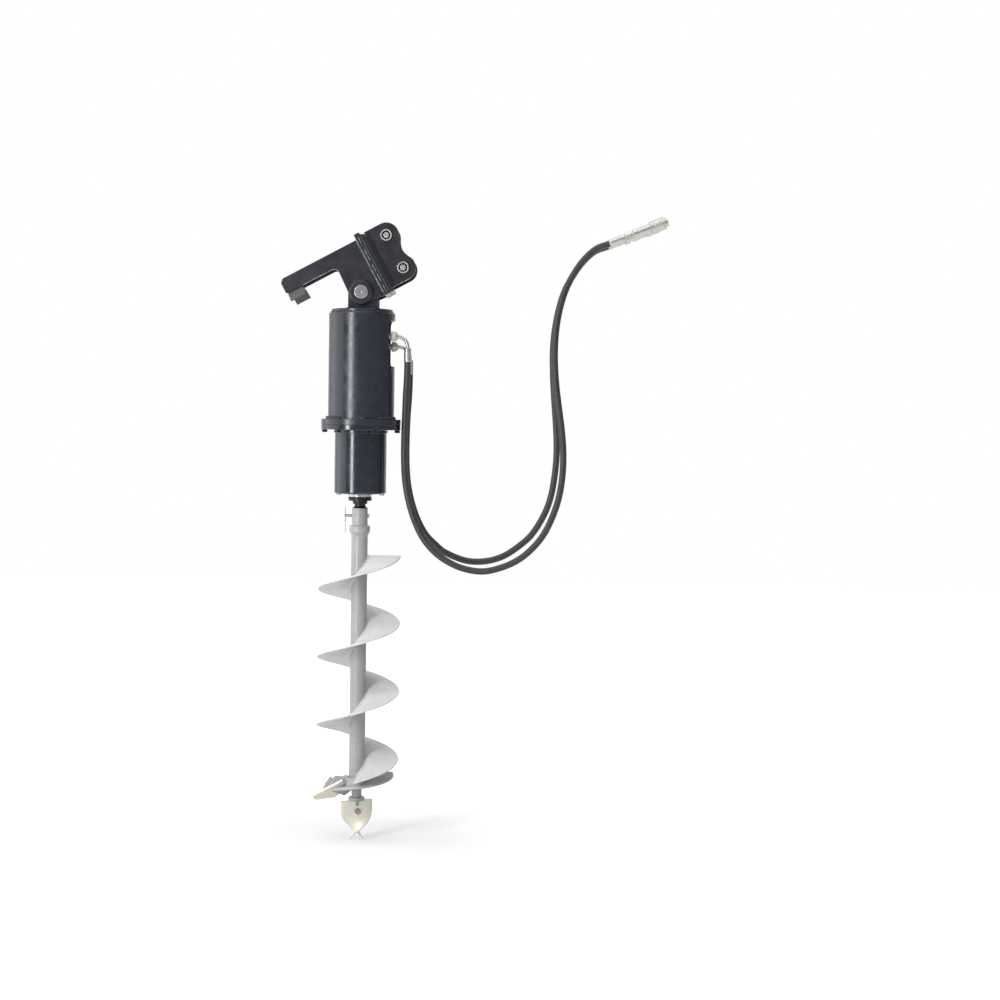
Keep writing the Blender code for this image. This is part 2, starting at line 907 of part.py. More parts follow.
def window_cutter(drive, look):
    """The rounded opening in the housing's side, where the hoses go in."""
    half = window_width / 2 - window_corner
    middle = -(window_top + window_bottom) / 2
    rise = (window_bottom - window_top) / 2 - window_corner
    corners = ((half, rise, 0), (-half, rise, 90), (-half, -rise, 180), (half, -rise, 270))
    outline = []
    for across, up, start in corners:
        outline += arc((across, middle + up), window_corner, start, start + 90, window_corner_steps)
    inner = housing_radius - 3 * housing_wall
    cutter = prism("window_cutter", outline, inner, housing_radius + overrun, look, drive)
    cutter.matrix_local = Matrix.Rotation(-RIGHT_ANGLE, 4, "Z")
    return cutter


def bolt_places():
    """Where the flange bolts stand, as points in X and Y."""
    first = -RIGHT_ANGLE - flange_bolt_phase
    return [
        (
            flange_bolt_circle * math.cos(first + TAU * i / flange_bolt_count),
            flange_bolt_circle * math.sin(first + TAU * i / flange_bolt_count),
        )
        for i in range(flange_bolt_count)
    ]


def bolt_drills(drive, look, name, top, foot):
    """The bolt holes of one flange, as one cutter of separate rods."""
    bm = bmesh.new()
    length = foot - top + 2 * overrun
    radius = bore_radius(flange_bolt_radius, bolt_steps)
    for x, y in bolt_places():
        bmesh.ops.create_cone(
            bm,
            cap_ends=True,
            segments=bolt_steps,
            radius1=radius,
            radius2=radius,
            depth=length,
            matrix=Matrix.Translation((x, y, -(top + foot) / 2)),
        )
    return finish_mesh(f"{name}_bolt_drills", bm, look, drive)


def build_gearbox(drive, paints, bright, dark):
    """The gearbox case, its ring gear, bearings, flange bolts and the cover of the shaft seal."""
    case = turned(
        "gearbox_case",
        [
            (flange_radius, -gearbox_top),
            (flange_radius, -gearbox_flange_foot),
            (step_radius, -gearbox_flange_foot),
            (step_radius, -gearbox_flange_foot - step_length),
            (gearbox_radius, -gearbox_flange_foot - step_length),
            (gearbox_radius, -gearbox_bottom + gearbox_edge),
            (gearbox_radius - gearbox_edge, -gearbox_bottom),
            (shaft_hole_radius, -gearbox_bottom),
            (shaft_hole_radius, -bearing_seat_foot),
            (bearing_radius + seat_gap, -bearing_seat_foot),
            (bearing_radius + seat_gap, -carrier_chamber_foot),
            (carrier_chamber_radius, -carrier_chamber_foot),
            (carrier_chamber_radius, -ring_ledge),
            (ring_gear_radius + seat_gap, -ring_ledge),
            (ring_gear_radius + seat_gap, -gearbox_top),
        ],
        paints,
        drive,
        steps=large_round_steps,
    )
    cut(case, bolt_drills(drive, paints, "gearbox", gearbox_top, gearbox_flange_foot))

    head_top = gearbox_flange_foot + seat_gap
    bolt_top = housing_foot + flange_bolt_cover + seat_gap
    inside = flange_bolt_head_length / 2
    for number, (x, y) in enumerate(bolt_places(), 1):
        place = Matrix.Translation((x, y, 0))
        bolt = turned(
            f"flange_bolt_{number}",
            rod_profile(flange_bolt_radius, -head_top - inside, -bolt_top),
            dark,
            drive,
            place,
            bolt_steps,
        )
        head = upright(
            f"bolt_head_form_{number}",
            polygon(flange_bolt_head_radius, 6),
            -head_top - flange_bolt_head_length,
            -head_top,
            dark,
            drive,
            place,
        )
        join(bolt, head)

    ring_foot = ring_ledge - seat_gap
    ring = turned(
        "ring_gear",
        rod_profile(ring_gear_radius, -ring_foot, -ring_foot + ring_gear_width),
        bright,
        drive,
        steps=large_round_steps,
    )
    spaces = upright(
        "ring_gear_cutter",
        gear_outline(ring_teeth, dedendum_share, addendum_share, -tooth_backlash, math.pi / ring_teeth),
        -ring_foot - overrun,
        -ring_foot + ring_gear_width + overrun,
        bright,
        drive,
    )
    cut(ring, spaces)

    upper_top = carrier_chamber_foot + seat_gap
    lower_foot = bearing_seat_foot - seat_gap
    for name, top in (("upper_bearing", upper_top), ("lower_bearing", lower_foot - bearing_width)):
        turned(
            name,
            sleeve_profile(bearing_radius, bore_radius(shaft_radius), -top - bearing_width, -top),
            bright,
            drive,
        )
    turned(
        "shaft_seal_cover",
        sleeve_profile(
            seal_cover_radius, bore_radius(shaft_radius), -seal_cover_foot, -gearbox_bottom - seat_gap
        ),
        bright,
        drive,
    )


def gear_outline(teeth, tip_share, root_share, backlash, turn=0.0):
    """An involute gear's outline: each flank from root to tip, thinned by the backlash."""
    pitch = teeth * gear_module / 2
    base = pitch * math.cos(pressure_angle)
    tip = pitch + tip_share * gear_module
    root = pitch - root_share * gear_module
    half_at_pitch = RIGHT_ANGLE / teeth - backlash / (2 * pitch)
    start = max(base, root)

    def half_angle(radius):
        lean = math.acos(min(1, base / radius))
        return half_at_pitch + involute(pressure_angle) - involute(lean)

    radii = [start + (tip - start) * i / flank_steps for i in range(flank_steps + 1)]
    if root < start:
        radii.insert(0, root)
    angles = [half_angle(max(radius, base)) for radius in radii]
    outline = []
    for tooth in range(teeth):
        centre = turn + TAU * tooth / teeth
        rising = [(r, centre - a) for r, a in zip(radii, angles)]
        falling = [(r, centre + a) for r, a in zip(reversed(radii), reversed(angles))]
        outline += [(r * math.cos(a), r * math.sin(a)) for r, a in rising + falling]
    return outline


def involute(angle):
    return math.tan(angle) - angle


def build_gears(drive, output, bright):
    """The sun gear on the drive axis and the three planet gears on the carrier's pins."""
    top = gear_foot - gear_width
    sun = upright(
        "sun_gear",
        gear_outline(sun_teeth, addendum_share, dedendum_share, tooth_backlash),
        -gear_foot,
        -top,
        bright,
        drive,
    )
    shaft = bar(
        "sun_shaft_form",
        (0, 0, -top - overrun),
        (0, 0, -motor_plate_top + motor_shaft_bore_depth - overrun),
        sun_shaft_radius,
        bright,
        drive,
    )
    join(sun, shaft)
    for number in range(planet_count):
        arm = TAU * number / planet_count
        axis = empty(
            f"planet_axis_{number + 1}",
            output,
            Matrix.Rotation(arm, 4, "Z") @ Matrix.Translation((planet_circle, 0, 0)),
        )
        planet = upright(
            f"planet_gear_{number + 1}",
            gear_outline(
                planet_teeth, addendum_share, dedendum_share, tooth_backlash, math.pi / planet_teeth
            ),
            -gear_foot,
            -top,
            bright,
            axis,
        )
        bore = drill(
            f"planet_bore_{number + 1}",
            (0, 0, -gear_foot - overrun),
            (0, 0, -top + overrun),
            planet_pin_radius,
            bright,
            axis,
            small_round_steps,
        )
        cut(planet, bore)
    carrier = turned(
        "planet_carrier",
        sleeve_profile(
            carrier_radius, shaft_spigot_radius + seat_gap, -carrier_top - carrier_thickness, -carrier_top
        ),
        bright,
        output,
        steps=large_round_steps,
    )
    pins = [
        bar(
            f"planet_pin_form_{number + 1}",
            (
                planet_circle * math.cos(TAU * number / planet_count),
                planet_circle * math.sin(TAU * number / planet_count),
                -carrier_top - carrier_thickness / 2,
            ),
            (
                planet_circle * math.cos(TAU * number / planet_count),
                planet_circle * math.sin(TAU * number / planet_count),
                -planet_pin_top,
            ),
            planet_pin_radius,
            bright,
            output,
        )
        for number in range(planet_count)
    ]
    join(carrier, *pins)


def build_motor(drive, dark, bright):
    """The hydraulic motor on its mount plate, inside the housing."""
    hole = sun_shaft_radius + seat_gap
    turned(
        "motor_mount_plate",
        sleeve_profile(motor_plate_radius, hole, -motor_plate_foot, -motor_plate_top),
        bright,
        drive,
        steps=large_round_steps,
    )
    foot = motor_plate_top - seat_gap
    motor = turned(
        "motor_body",
        [
            (0, -motor_top),
            (motor_radius, -motor_top),
            (motor_radius, -motor_head_foot),
            (motor_rotor_radius, -motor_head_foot),
            (motor_rotor_radius, -motor_rotor_foot),
            (motor_body_radius, -motor_rotor_foot),
            (motor_body_radius, -motor_flange_top),
            (motor_flange_radius, -motor_flange_top),
            (motor_flange_radius, -foot),
            (motor_shaft_bore, -foot),
            (motor_shaft_bore, -foot + motor_shaft_bore_depth),
            (0, -foot + motor_shaft_bore_depth),
        ],
        dark,
        drive,
    )
    pads = []
    for level, drop, across in port_places():
        pad = bar(
            f"{level}_port_pad_form",
            (motor_radius / 2, across, -drop),
            (motor_radius, across, -drop),
            adapter_flange_radius,
            dark,
            drive,
        )
        pads.append(pad)
    join(motor, *pads)


def port_places():
    """The two ports, as name, drop below the pivot, and place across."""
    return (("upper", upper_port_drop, -port_offset), ("lower", lower_port_drop, port_offset))


def build_fittings(drive, bright):
    """Port adapters, swivel nuts and bent hose ends with their crimped ferrules."""
    reaches = {"upper": upper_elbow_reach, "lower": lower_elbow_reach}
    tops = {"upper": upper_ferrule_top, "lower": lower_ferrule_top}
    for level, drop, across in port_places():
        seat = motor_radius + seat_gap
        axis = along((0, across, -drop), (1, 0, 0))
        adapter = turned(
            f"{level}_port_adapter",
            rod_profile(adapter_radius, seat, adapter_end),
            bright,
            drive,
            axis,
            small_round_steps,
        )
        flange = upright(
            f"{level}_adapter_hex_form",
            polygon(adapter_flange_radius, 6),
            seat,
            seat + adapter_flange_length,
            bright,
            drive,
            axis,
        )
        join(adapter, flange)
        nut_start = adapter_end + seat_gap
        nut = upright(
            f"{level}_swivel_nut",
            polygon(swivel_nut_radius, 6, RIGHT_ANGLE / 3),
            nut_start,
            nut_start + swivel_nut_length,
            bright,
            drive,
            axis,
        )
        bore = drill(
            f"{level}_nut_bore",
            (nut_start - overrun, across, -drop),
            (nut_start + swivel_nut_length + overrun, across, -drop),
            elbow_radius,
            bright,
            drive,
        )
        cut(nut, bore)
        reach, top = reaches[level], tops[level]
        start = Vector((nut_start + seat_gap, across, -drop))
        centre = Vector((reach - elbow_bend, across, -drop - elbow_bend))
        points = [start]
        for i in range(elbow_bend_steps + 1):
            angle = RIGHT_ANGLE * (1 - i / elbow_bend_steps)
            points.append(centre + elbow_bend * Vector((math.cos(angle), 0, math.sin(angle))))
        radii = [elbow_radius] * len(points)
        points.append(Vector((reach, across, -top + seat_gap)))
        radii.append(elbow_radius)
        points.append(Vector((reach, across, -top - seat_gap)))
        radii.append(ferrule_radius)
        points.append(Vector((reach, across, -top - ferrule_length)))
        radii.append(ferrule_radius)
        swept(f"{level}_hose_elbow", points, radii, small_round_steps, bright, drive)


def build_output(output, bright, pale, dark, gold):
    """The output shaft, its slinger, and the auger that is pinned on its nose."""
    shaft_top = carrier_top + seat_gap + overrun
    shoulder = carrier_top + carrier_thickness + seat_gap
    shaft = turned(
        "output_shaft",
        [
            (0, -shaft_top),
            (shaft_spigot_radius, -shaft_top),
            (shaft_spigot_radius, -shoulder),
            (shaft_radius, -shoulder),
            (shaft_radius, -shaft_shoulder),
            (shaft_nose_radius, -shaft_shoulder),
            (shaft_nose_radius, -seat_flare_top),
            (seat_flare_radius, -seat_flare_foot),
            (shaft_nose_radius, -seat_flare_foot),
            (shaft_nose_radius, -shaft_nose_foot),
            (0, -shaft_nose_foot),
        ],
        dark,
        output,
    )
    turned(
        "shaft_slinger",
        sleeve_profile(
            slinger_radius, shaft_radius + seat_gap, -slinger_foot, -seal_cover_foot - seat_gap
        ),
        dark,
        output,
    )
    socket_radius = shaft_nose_radius + seat_gap
    socket_foot = shaft_nose_foot + seat_gap
    tube = turned(
        "auger_tube",
        [
            (auger_hub_radius, -auger_top),
            (auger_hub_radius, -hub_collar_top),
            (hub_collar_radius, -hub_collar_top - hub_collar_rise),
            (hub_collar_radius, -hub_collar_foot),
            (auger_tube_radius, -hub_taper_foot),
            (auger_tube_radius, -auger_tube_foot),
            (0, -auger_tube_foot),
            (0, -socket_foot),
            (socket_radius, -socket_foot),
            (socket_radius, -auger_top),
        ],
        pale,
        output,
    )
    for piece in (shaft, tube):
        hole = drill(
            f"cross_pin_drill_{piece.name}",
            (-auger_hub_radius - overrun, 0, -cross_pin_drop),
            (auger_hub_radius + overrun, 0, -cross_pin_drop),
            cross_pin_radius,
            pale,
            output,
        )
        cut(piece, hole)
    pin = turned(
        "bit_cross_pin",
        [
            (0, cross_pin_right + cross_pin_head_length),
            (cross_pin_head_radius, cross_pin_right + cross_pin_head_length),
            (cross_pin_head_radius, cross_pin_right),
            (cross_pin_radius, cross_pin_right),
            (cross_pin_radius, -cross_pin_left),
            (0, -cross_pin_left),
        ],
        bright,
        output,
        along((0, 0, -cross_pin_drop), (1, 0, 0)),
        small_round_steps,
    )
    build_clip(output, pin, bright)
    build_flighting(output, pale)
    build_cutter_head(output, pale, gold, dark)


def build_clip(output, pin, bright):
    """The wire clip whose straight leg goes down through the cross pin's end."""
    centre = Vector((-clip_offset, 0, -cross_pin_drop))
    reach = Vector((0, 0, cross_pin_radius + overrun))
    radius = bore_radius(clip_wire_radius, clip_sides) + seat_gap
    hole = drill("clip_drill", centre - reach, centre + reach, radius, bright, output, small_round_steps)
    cut(pin, hole)
    points = [centre + Vector((0, y, z)) for y, z in clip_route]
    swept("hairpin_clip", points, [clip_wire_radius] * len(points), clip_sides, bright, output)


def helix_plate(name, inner, outer, start, pitch, turns, thickness, look, parent, first=0.0):
    """A right-handed helical plate, its two radii given as functions of the share of the way down."""
    bm = bmesh.new()
    steps = max(2, round(flight_steps_per_turn * turns))
    rows = []
    for i in range(steps + 1):
        share = i / steps
        angle = first - TAU * turns * share
        drop = start + pitch * turns * share
        corners = (
            (inner(share), -drop),
            (outer(share), -drop),
            (outer(share), -drop - thickness),
            (inner(share), -drop - thickness),
        )
        rows.append([bm.verts.new((r * math.cos(angle), r * math.sin(angle), z)) for r, z in corners])
    for above, below in zip(rows, rows[1:]):
        for k in range(4):
            bm.faces.new((above[k], above[(k + 1) % 4], below[(k + 1) % 4], below[k]))
    bm.faces.new(rows[0])
    bm.faces.new(rows[-1])
    return finish_mesh(name, bm, look, parent)


def build_flighting(output, pale):
    """The helical flighting welded round the tube."""
    helix_plate(
        "flighting",
        lambda share: auger_tube_radius + seat_gap,
        lambda share: flight_radius,
        flight_start,
        flight_pitch,
        flight_turns,
        flight_thickness,
        pale,
        output,
    )


def slab(name, outline, half_depth, look, parent, place):
    """An outline in X and Z with the same depth on each side of it."""
    return prism(name, outline, -half_depth, half_depth, look, parent, place)


def build_cutter_head(output, pale, gold, dark):
    """The cutter head: a ring, a wing, and the holder of the blade; then the blade and the pilot below."""
    head = turned(
        "cutter_head",
        sleeve_profile(head_ring_radius, auger_tube_radius + seat_gap, -head_ring_foot, -head_ring_top),
        pale,
        output,
    )
    wing = helix_plate(
        "wing_form",
        lambda share: (auger_tube_radius + head_ring_radius) / 2,
        lambda share: wing_start_radius + (wing_end_radius - wing_start_radius) * share,
        wing_start,
        wing_pitch,
        wing_turns,
        wing_thickness,
        pale,
        output,
        wing_lead,
    )
    slope = Matrix.Rotation(math.pi, 4, "Z") @ Matrix.Rotation(blade_slope, 4, "Y")
    rake = Matrix.Rotation(blade_rake, 4, "X")
    place = Matrix.Translation((-blade_inner, 0, -blade_inner_drop)) @ slope @ rake
    holder_low = seat_gap
    holder_high = seat_gap + holder_thickness
    holder = slab(
        "holder_form",
        [
            (holder_inner, holder_low),
            (holder_outer, holder_low),
            (holder_outer, holder_high - holder_step),
            (holder_outer - holder_step, holder_high),
            (holder_inner, holder_high),
        ],
        holder_depth / 2,
        pale,
        output,
        place,
    )
    join(head, wing, holder)
    slab(
        "cutting_blade",
        [
            (0, 0),
            (0, -blade_thickness),
            (blade_length - blade_tip_taper, -blade_thickness),
            (blade_length, -blade_thickness / 2),
            (blade_length - blade_tip_taper, 0),
        ],
        blade_depth / 2,
        gold,
        output,
        place,
    )
    build_pilot(output, pale, gold, dark)


def tang_box(name, width, foot, look, parent, place):
    """A box as deep as the pilot's point, which starts inside the pilot's collar."""
    half = width / 2
    outline = [
        (-half, -foot),
        (half, -foot),
        (half, -pilot_collar_foot + pilot_tang_overlap),
        (-half, -pilot_collar_foot + pilot_tang_overlap),
    ]
    return slab(name, outline, pilot_thickness / 2, look, parent, place)


def build_pilot(output, pale, gold, dark):
    """The pilot: a shank with a collar, and a twisted fishtail point held by one bolt."""
    shank = turned(
        "pilot_shank",
        [
            (0, -auger_tube_foot - seat_gap),
            (pilot_shank_radius, -auger_tube_foot - seat_gap),
            (pilot_shank_radius, -pilot_collar_top),
            (pilot_collar_radius, -pilot_collar_top),
            (pilot_collar_radius, -pilot_collar_foot),
            (0, -pilot_collar_foot),
        ],
        pale,
        output,
    )
    facing = Matrix.Rotation(pilot_turn, 4, "Z")
    tang_foot = pilot_collar_foot + pilot_tang_length
    slot_foot = tang_foot + seat_gap
    slot_width = pilot_tang_width + 2 * seat_gap
    join(shank, tang_box("pilot_tang_form", pilot_tang_width, tang_foot, pale, output, facing))
    slot = tang_box("pilot_tang_slot", slot_width, slot_foot, pale, output, facing)

    bm = bmesh.new()
    rows = []
    top = pilot_collar_foot + seat_gap
    for i in range(pilot_rows + 1):
        share = i / pilot_rows
        drop = top + (pilot_waist - top) * share
        half = (pilot_width - (pilot_width - pilot_waist_width) * share**pilot_taper_power) / 2
        deep = pilot_thickness / 2
        turn = Matrix.Rotation(pilot_turn - pilot_twist * share**pilot_taper_power, 3, "Z")
        corners = ((-half, 0), (0, -deep), (half, 0), (0, deep))
        rows.append([bm.verts.new(turn @ Vector((x, y, 0)) - Vector((0, 0, drop))) for x, y in corners])
    for above, below in zip(rows, rows[1:]):
        for k in range(4):
            bm.faces.new((above[k], above[(k + 1) % 4], below[(k + 1) % 4], below[k]))
    bm.faces.new(rows[0])
    bm.faces.new(rows[-1])
    point = finish_mesh("pilot_point", bm, gold, output)
    rise = pilot_waist_width / 2
    prongs = [
        swept(
            f"prong_form_{side}",
            [
                Vector((0, 0, -pilot_waist + rise)),
                Vector((side * pilot_prong_spread / 3, 0, -pilot_waist)),
                Vector((side * pilot_prong_spread, 0, -pilot_prong_foot)),
            ],
            [pilot_prong_width / 2, pilot_prong_width / 2, pilot_prong_width / 5],
            6,
            gold,
            output,
        )
        for side in (-1, 1)
    ]
    join(point, *prongs)
    drop = pilot_collar_foot + pilot_bolt_drop
    stand = pilot_thickness / 2 + pilot_bolt_stand
    centre = Vector((0, 0, -drop))
    reach = facing.to_3x3() @ Vector((0, stand, 0))
    hole = drill("pilot_bolt_drill", centre + reach, centre - reach, pilot_bolt_radius, gold, output)
    cut(point, slot, hole)
    turned(
        "pilot_bolt",
        rod_profile(pilot_bolt_radius, -stand, stand),
        dark,
        output,
        along(centre, reach),
        small_round_steps,
    )


def smooth_route(points):
    """Evenly spaced points on a smooth curve through the route's own points."""
    points = [Vector(point) for point in points]
    padded = [2 * points[0] - points[1]] + points + [2 * points[-1] - points[-2]]
    fine = []
    for a, b, c, d in zip(padded, padded[1:], padded[2:], padded[3:]):
        for k in range(route_steps):
            s = k / route_steps
            bend = 2 * a - 5 * b + 4 * c - d
            twist = 3 * (b - c) + d - a
            fine.append((2 * b + (c - a) * s + bend * s**2 + twist * s**3) / 2)
    fine.append(points[-1])
    lengths = [0.0]
    for a, b in zip(fine, fine[1:]):
        lengths.append(lengths[-1] + (b - a).length)
    count = round(lengths[-1] / hose_point_spacing)
    even = []
    at = 0
    for i in range(count + 1):
        wanted = lengths[-1] * i / count
        while at < len(fine) - 2 and lengths[at + 1] < wanted:
            at += 1
        share = (wanted - lengths[at]) / (lengths[at + 1] - lengths[at])
        even.append(fine[at].lerp(fine[at + 1], share))
    return even


def hose(name, route, look):
    """A hose as a round tube along its route."""
    curve = bpy.data.curves.new(name, "CURVE")
    curve.dimensions = "3D"
    curve.bevel_depth = hose_radius
    curve.bevel_resolution = hose_bevel_resolution
    curve.use_fill_caps = True
    curve.materials.append(look)
    points = smooth_route(route)
    line = curve.splines.new("POLY")
    line.points.add(len(points) - 1)
    for knot, point in zip(line.points, points):
        knot.co = (*point, 1)
    made = bpy.data.objects.new(name, curve)
    bpy.context.scene.collection.objects.link(made)
    return made


def build_hoses(rubber, bright):
    """The two hoses and the quick couplers on their far ends."""
    hose("supply_hose", supply_route, rubber)
    hose("return_hose", return_route, rubber)
    for name, across in (("supply", -coupler_offset), ("return", coupler_offset)):
        axis = along((coupler_x, across, coupler_z), coupler_direction)
        if name == "supply":
            tail = [
                (coupler_body_radius, coupler_length),
                (coupler_socket_radius, coupler_length),
                (coupler_socket_radius, coupler_length - coupler_socket_depth),
                (0, coupler_length - coupler_socket_depth),
            ]
        else:
            tail = [
                (coupler_body_radius, return_body_start),
                (return_body_radius, return_body_start),
                (return_body_radius, return_body_end),
                (return_nose_radius, return_body_end),
                (return_nose_radius, coupler_length),
                (0, coupler_length),
            ]
        head = [
            (0, coupler_start_gap),
            (coupler_ferrule_radius, coupler_start_gap),
            (coupler_ferrule_radius, coupler_ferrule_length),
            (coupler_neck_radius, coupler_ferrule_length),
            (coupler_neck_radius, coupler_ring_start),
            (coupler_ring_radius, coupler_ring_start),
            (coupler_ring_radius, coupler_ring_end),
            (coupler_body_radius, coupler_ring_end),
        ]
        coupler = turned(f"{name}_coupler", head + tail, bright, None, axis)
        nut = upright(
            f"{name}_coupler_nut_form",
            polygon(coupler_nut_radius, 6),
            coupler_nut_start,
            coupler_nut_end,
            bright,
            None,
            axis,
        )
        join(coupler, nut)
        if name == "supply":
            turned(
                "coupler_sleeve",
                sleeve_profile(sleeve_radius, sleeve_bore_radius, sleeve_start, sleeve_end),
                bright,
                None,
                axis,
            )


def main():
    clear_scene()
    steel = paint("frame_paint", (0.032, 0.036, 0.045), 0.4, 0.0)
    bright = paint("bright_steel", (0.42, 0.43, 0.44), 0.35, 1.0)
    dark = paint("dark_steel", (0.03, 0.03, 0.032), 0.45, 0.3)
    saddle_steel = paint("saddle_steel", (0.095, 0.095, 0.1), 0.5, 0.2)
    pale = paint("pale_auger_paint", (0.42, 0.42, 0.42), 0.5, 0.0)
    gold = paint("pale_hard_facing", (0.62, 0.58, 0.47), 0.5, 0.0)
    rubber = paint("hose_rubber", (0.02, 0.02, 0.021), 0.6, 0.0)

    hitch = empty("hitch_frame", None, Matrix.Rotation(-hitch_tilt, 4, "Y"))
    pivot = Matrix.Rotation(-hitch_tilt, 4, "Y") @ Vector((pivot_x, 0, pivot_z))
    drive = empty("drive_pivot", None, Matrix.Translation(pivot))
    output = empty("output_axis", drive)

    build_hitch(hitch, steel, bright, saddle_steel)
    build_drive_shell(drive, steel, bright)
    build_gearbox(drive, steel, bright, dark)
    build_gears(drive, output, bright)
    build_motor(drive, dark, bright)
    build_fittings(drive, bright)
    build_output(output, bright, pale, dark, gold)
    build_hoses(rubber, bright)


main()
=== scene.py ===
"""The looks of the earth auger drive: fine surfaces, finishes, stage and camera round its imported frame."""

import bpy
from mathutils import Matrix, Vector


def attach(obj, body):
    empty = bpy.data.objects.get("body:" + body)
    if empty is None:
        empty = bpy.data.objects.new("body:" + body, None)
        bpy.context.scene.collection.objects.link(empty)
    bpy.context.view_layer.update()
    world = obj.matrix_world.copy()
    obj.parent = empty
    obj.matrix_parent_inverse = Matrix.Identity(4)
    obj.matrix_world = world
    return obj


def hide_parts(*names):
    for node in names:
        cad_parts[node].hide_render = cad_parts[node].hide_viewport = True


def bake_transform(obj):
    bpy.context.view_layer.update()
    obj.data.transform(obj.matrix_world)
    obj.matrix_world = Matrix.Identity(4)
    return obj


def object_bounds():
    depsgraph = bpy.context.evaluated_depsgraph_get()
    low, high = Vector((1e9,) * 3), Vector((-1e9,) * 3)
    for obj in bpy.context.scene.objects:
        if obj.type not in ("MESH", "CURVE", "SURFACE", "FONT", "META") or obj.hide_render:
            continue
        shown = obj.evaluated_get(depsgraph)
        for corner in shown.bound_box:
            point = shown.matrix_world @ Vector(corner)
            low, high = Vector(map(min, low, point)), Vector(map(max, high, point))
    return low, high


bl_info = {
    "name": "Earth auger drive",
    "version": (1, 0, 0),
    "blender": (4, 5, 0),
    "location": "View3D > Sidebar > Auger drive",
    "description": "Builds the pieces, finishes and stage of an earth auger drive round its packed frame",
    "category": "Add Mesh",
}

import math

import bmesh
import bpy
import numpy as np
from bpy.props import FloatProperty, FloatVectorProperty, IntProperty, PointerProperty
from mathutils import Matrix, Vector

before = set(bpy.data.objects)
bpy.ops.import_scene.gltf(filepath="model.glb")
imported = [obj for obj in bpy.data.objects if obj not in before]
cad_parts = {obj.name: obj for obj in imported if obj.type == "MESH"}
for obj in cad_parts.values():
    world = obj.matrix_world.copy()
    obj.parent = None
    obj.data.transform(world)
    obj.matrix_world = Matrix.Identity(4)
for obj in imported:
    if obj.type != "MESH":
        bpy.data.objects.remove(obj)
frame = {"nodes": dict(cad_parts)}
cad_box = [[float(c) for c in corner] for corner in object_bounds()]

TAU = 2 * math.pi
HITCH_TILT = math.radians(28.35)
PIVOT_IN_HITCH = (-0.1756, 0.0, -0.0733)
HITCH_TURN = np.array(Matrix.Rotation(-HITCH_TILT, 4, "Y"))
PIVOT = HITCH_TURN[:3, :3] @ np.array(PIVOT_IN_HITCH)
DRIVE_PLACE = np.array(Matrix.Translation(PIVOT))
FRONT = (0.0, -1.0, 0.0)
UP_X, UP_Z = (1, 0, 0), (0, 0, 1)
SIDES = (("front", -1), ("rear", 1))
HELIX_STEPS = 96
PILOT_TURN = math.radians(29)
COUPLER_TILT = math.radians(21.35)
COUPLER_START = np.array([0.7772, 0.0, 0.0401])
COUPLER_AHEAD = np.array([math.cos(COUPLER_TILT), 0.0, math.sin(COUPLER_TILT)])

# The slot of each finish
SLOTS = {
    # The edge lines, a painted highlight, go with the frame paint's slot.
    **dict.fromkeys(("slate paint", "case paint", "frame paint", "slate weld", "worn edge"), "frame_paint"),
    **dict.fromkeys(("pale paint", "tube paint", "cutter paint", "pale weld"), "pale_paint"),
    **dict.fromkeys(("turned steel", "faced steel"), "machined_steel"),
    **dict.fromkeys(("black oxide", "rusted steel"), "dark_steel"),
    "saddle steel paint": "saddle_steel",
    "zinc plate": "bright_steel",
    "hard facing": "hard_facing",
    "wrapped rubber": "hose_rubber",
}
# Routes of the two hoses in the row frame, from ferrule to coupler, written in millimetres
SUPPLY_ROUTE = np.array([
    (48.9, -20, -398), (48.9, -20, -426.8), (47.7, -21, -469.8), (45.2, -22, -520.1), (43.2, -23, -589.5),
    (41.3, -24, -666), (41.4, -26, -742.5), (44.5, -28, -808.2), (52.2, -31, -866.6), (65.5, -34, -925.2),
    (85.8, -38, -983.6), (114.9, -42, -1040.1), (154.9, -46, -1087.3), (203.2, -49, -1122.5),
    (262.4, -53, -1148.1), (332.3, -56, -1158.1), (398.2, -59, -1144.2), (460.2, -62, -1115.8),
    (511, -65, -1074.6), (554.2, -67, -1020.8), (586.3, -69, -954.2), (609.1, -70, -880.4),
    (620.4, -71, -799.5), (621.7, -71, -718.7), (614.7, -71, -638), (603.2, -70, -557.3), (592.4, -69, -476.8),
    (586.1, -68, -396), (585.7, -67, -322.5), (592.1, -66, -249), (605.7, -65, -179), (626.1, -63, -118.1),
    (652.2, -62, -68.1), (686.4, -61, -19.1), (729.3, -60, 20.6), (777.2, -60, 40.1),
]) / 1000
RETURN_ROUTE = np.array([
    (55.8, 20, -441.4), (55.8, 20, -469.8), (53.8, 21, -526.7), (48.8, 22, -611.4), (46.9, 24, -702.5),
    (47.9, 26, -775.3), (54.2, 28, -844.6), (68, 31, -910.3), (91.1, 34, -976.1), (121.3, 38, -1030.6),
    (158.6, 42, -1068.9), (195.8, 45, -1097.7), (269.6, 50, -1126.3), (343.1, 54, -1128.1),
    (416.2, 58, -1105.4), (488.9, 62, -1052.9), (525, 64, -1012), (560.7, 66, -949), (581.9, 67, -888.5),
    (593.8, 68, -822.2), (600.8, 69, -748.6), (600.8, 69, -675.2), (596, 69, -601.7), (589.3, 68, -521),
    (584.1, 68, -440.3), (582, 67, -352.2), (587.5, 66, -271.2), (601.9, 65, -190.1), (622.9, 63, -122.8),
    (651.1, 62, -69.3), (686.4, 61, -19.1), (729.3, 60, 20.6), (777.2, 60, 40.1),
]) / 1000
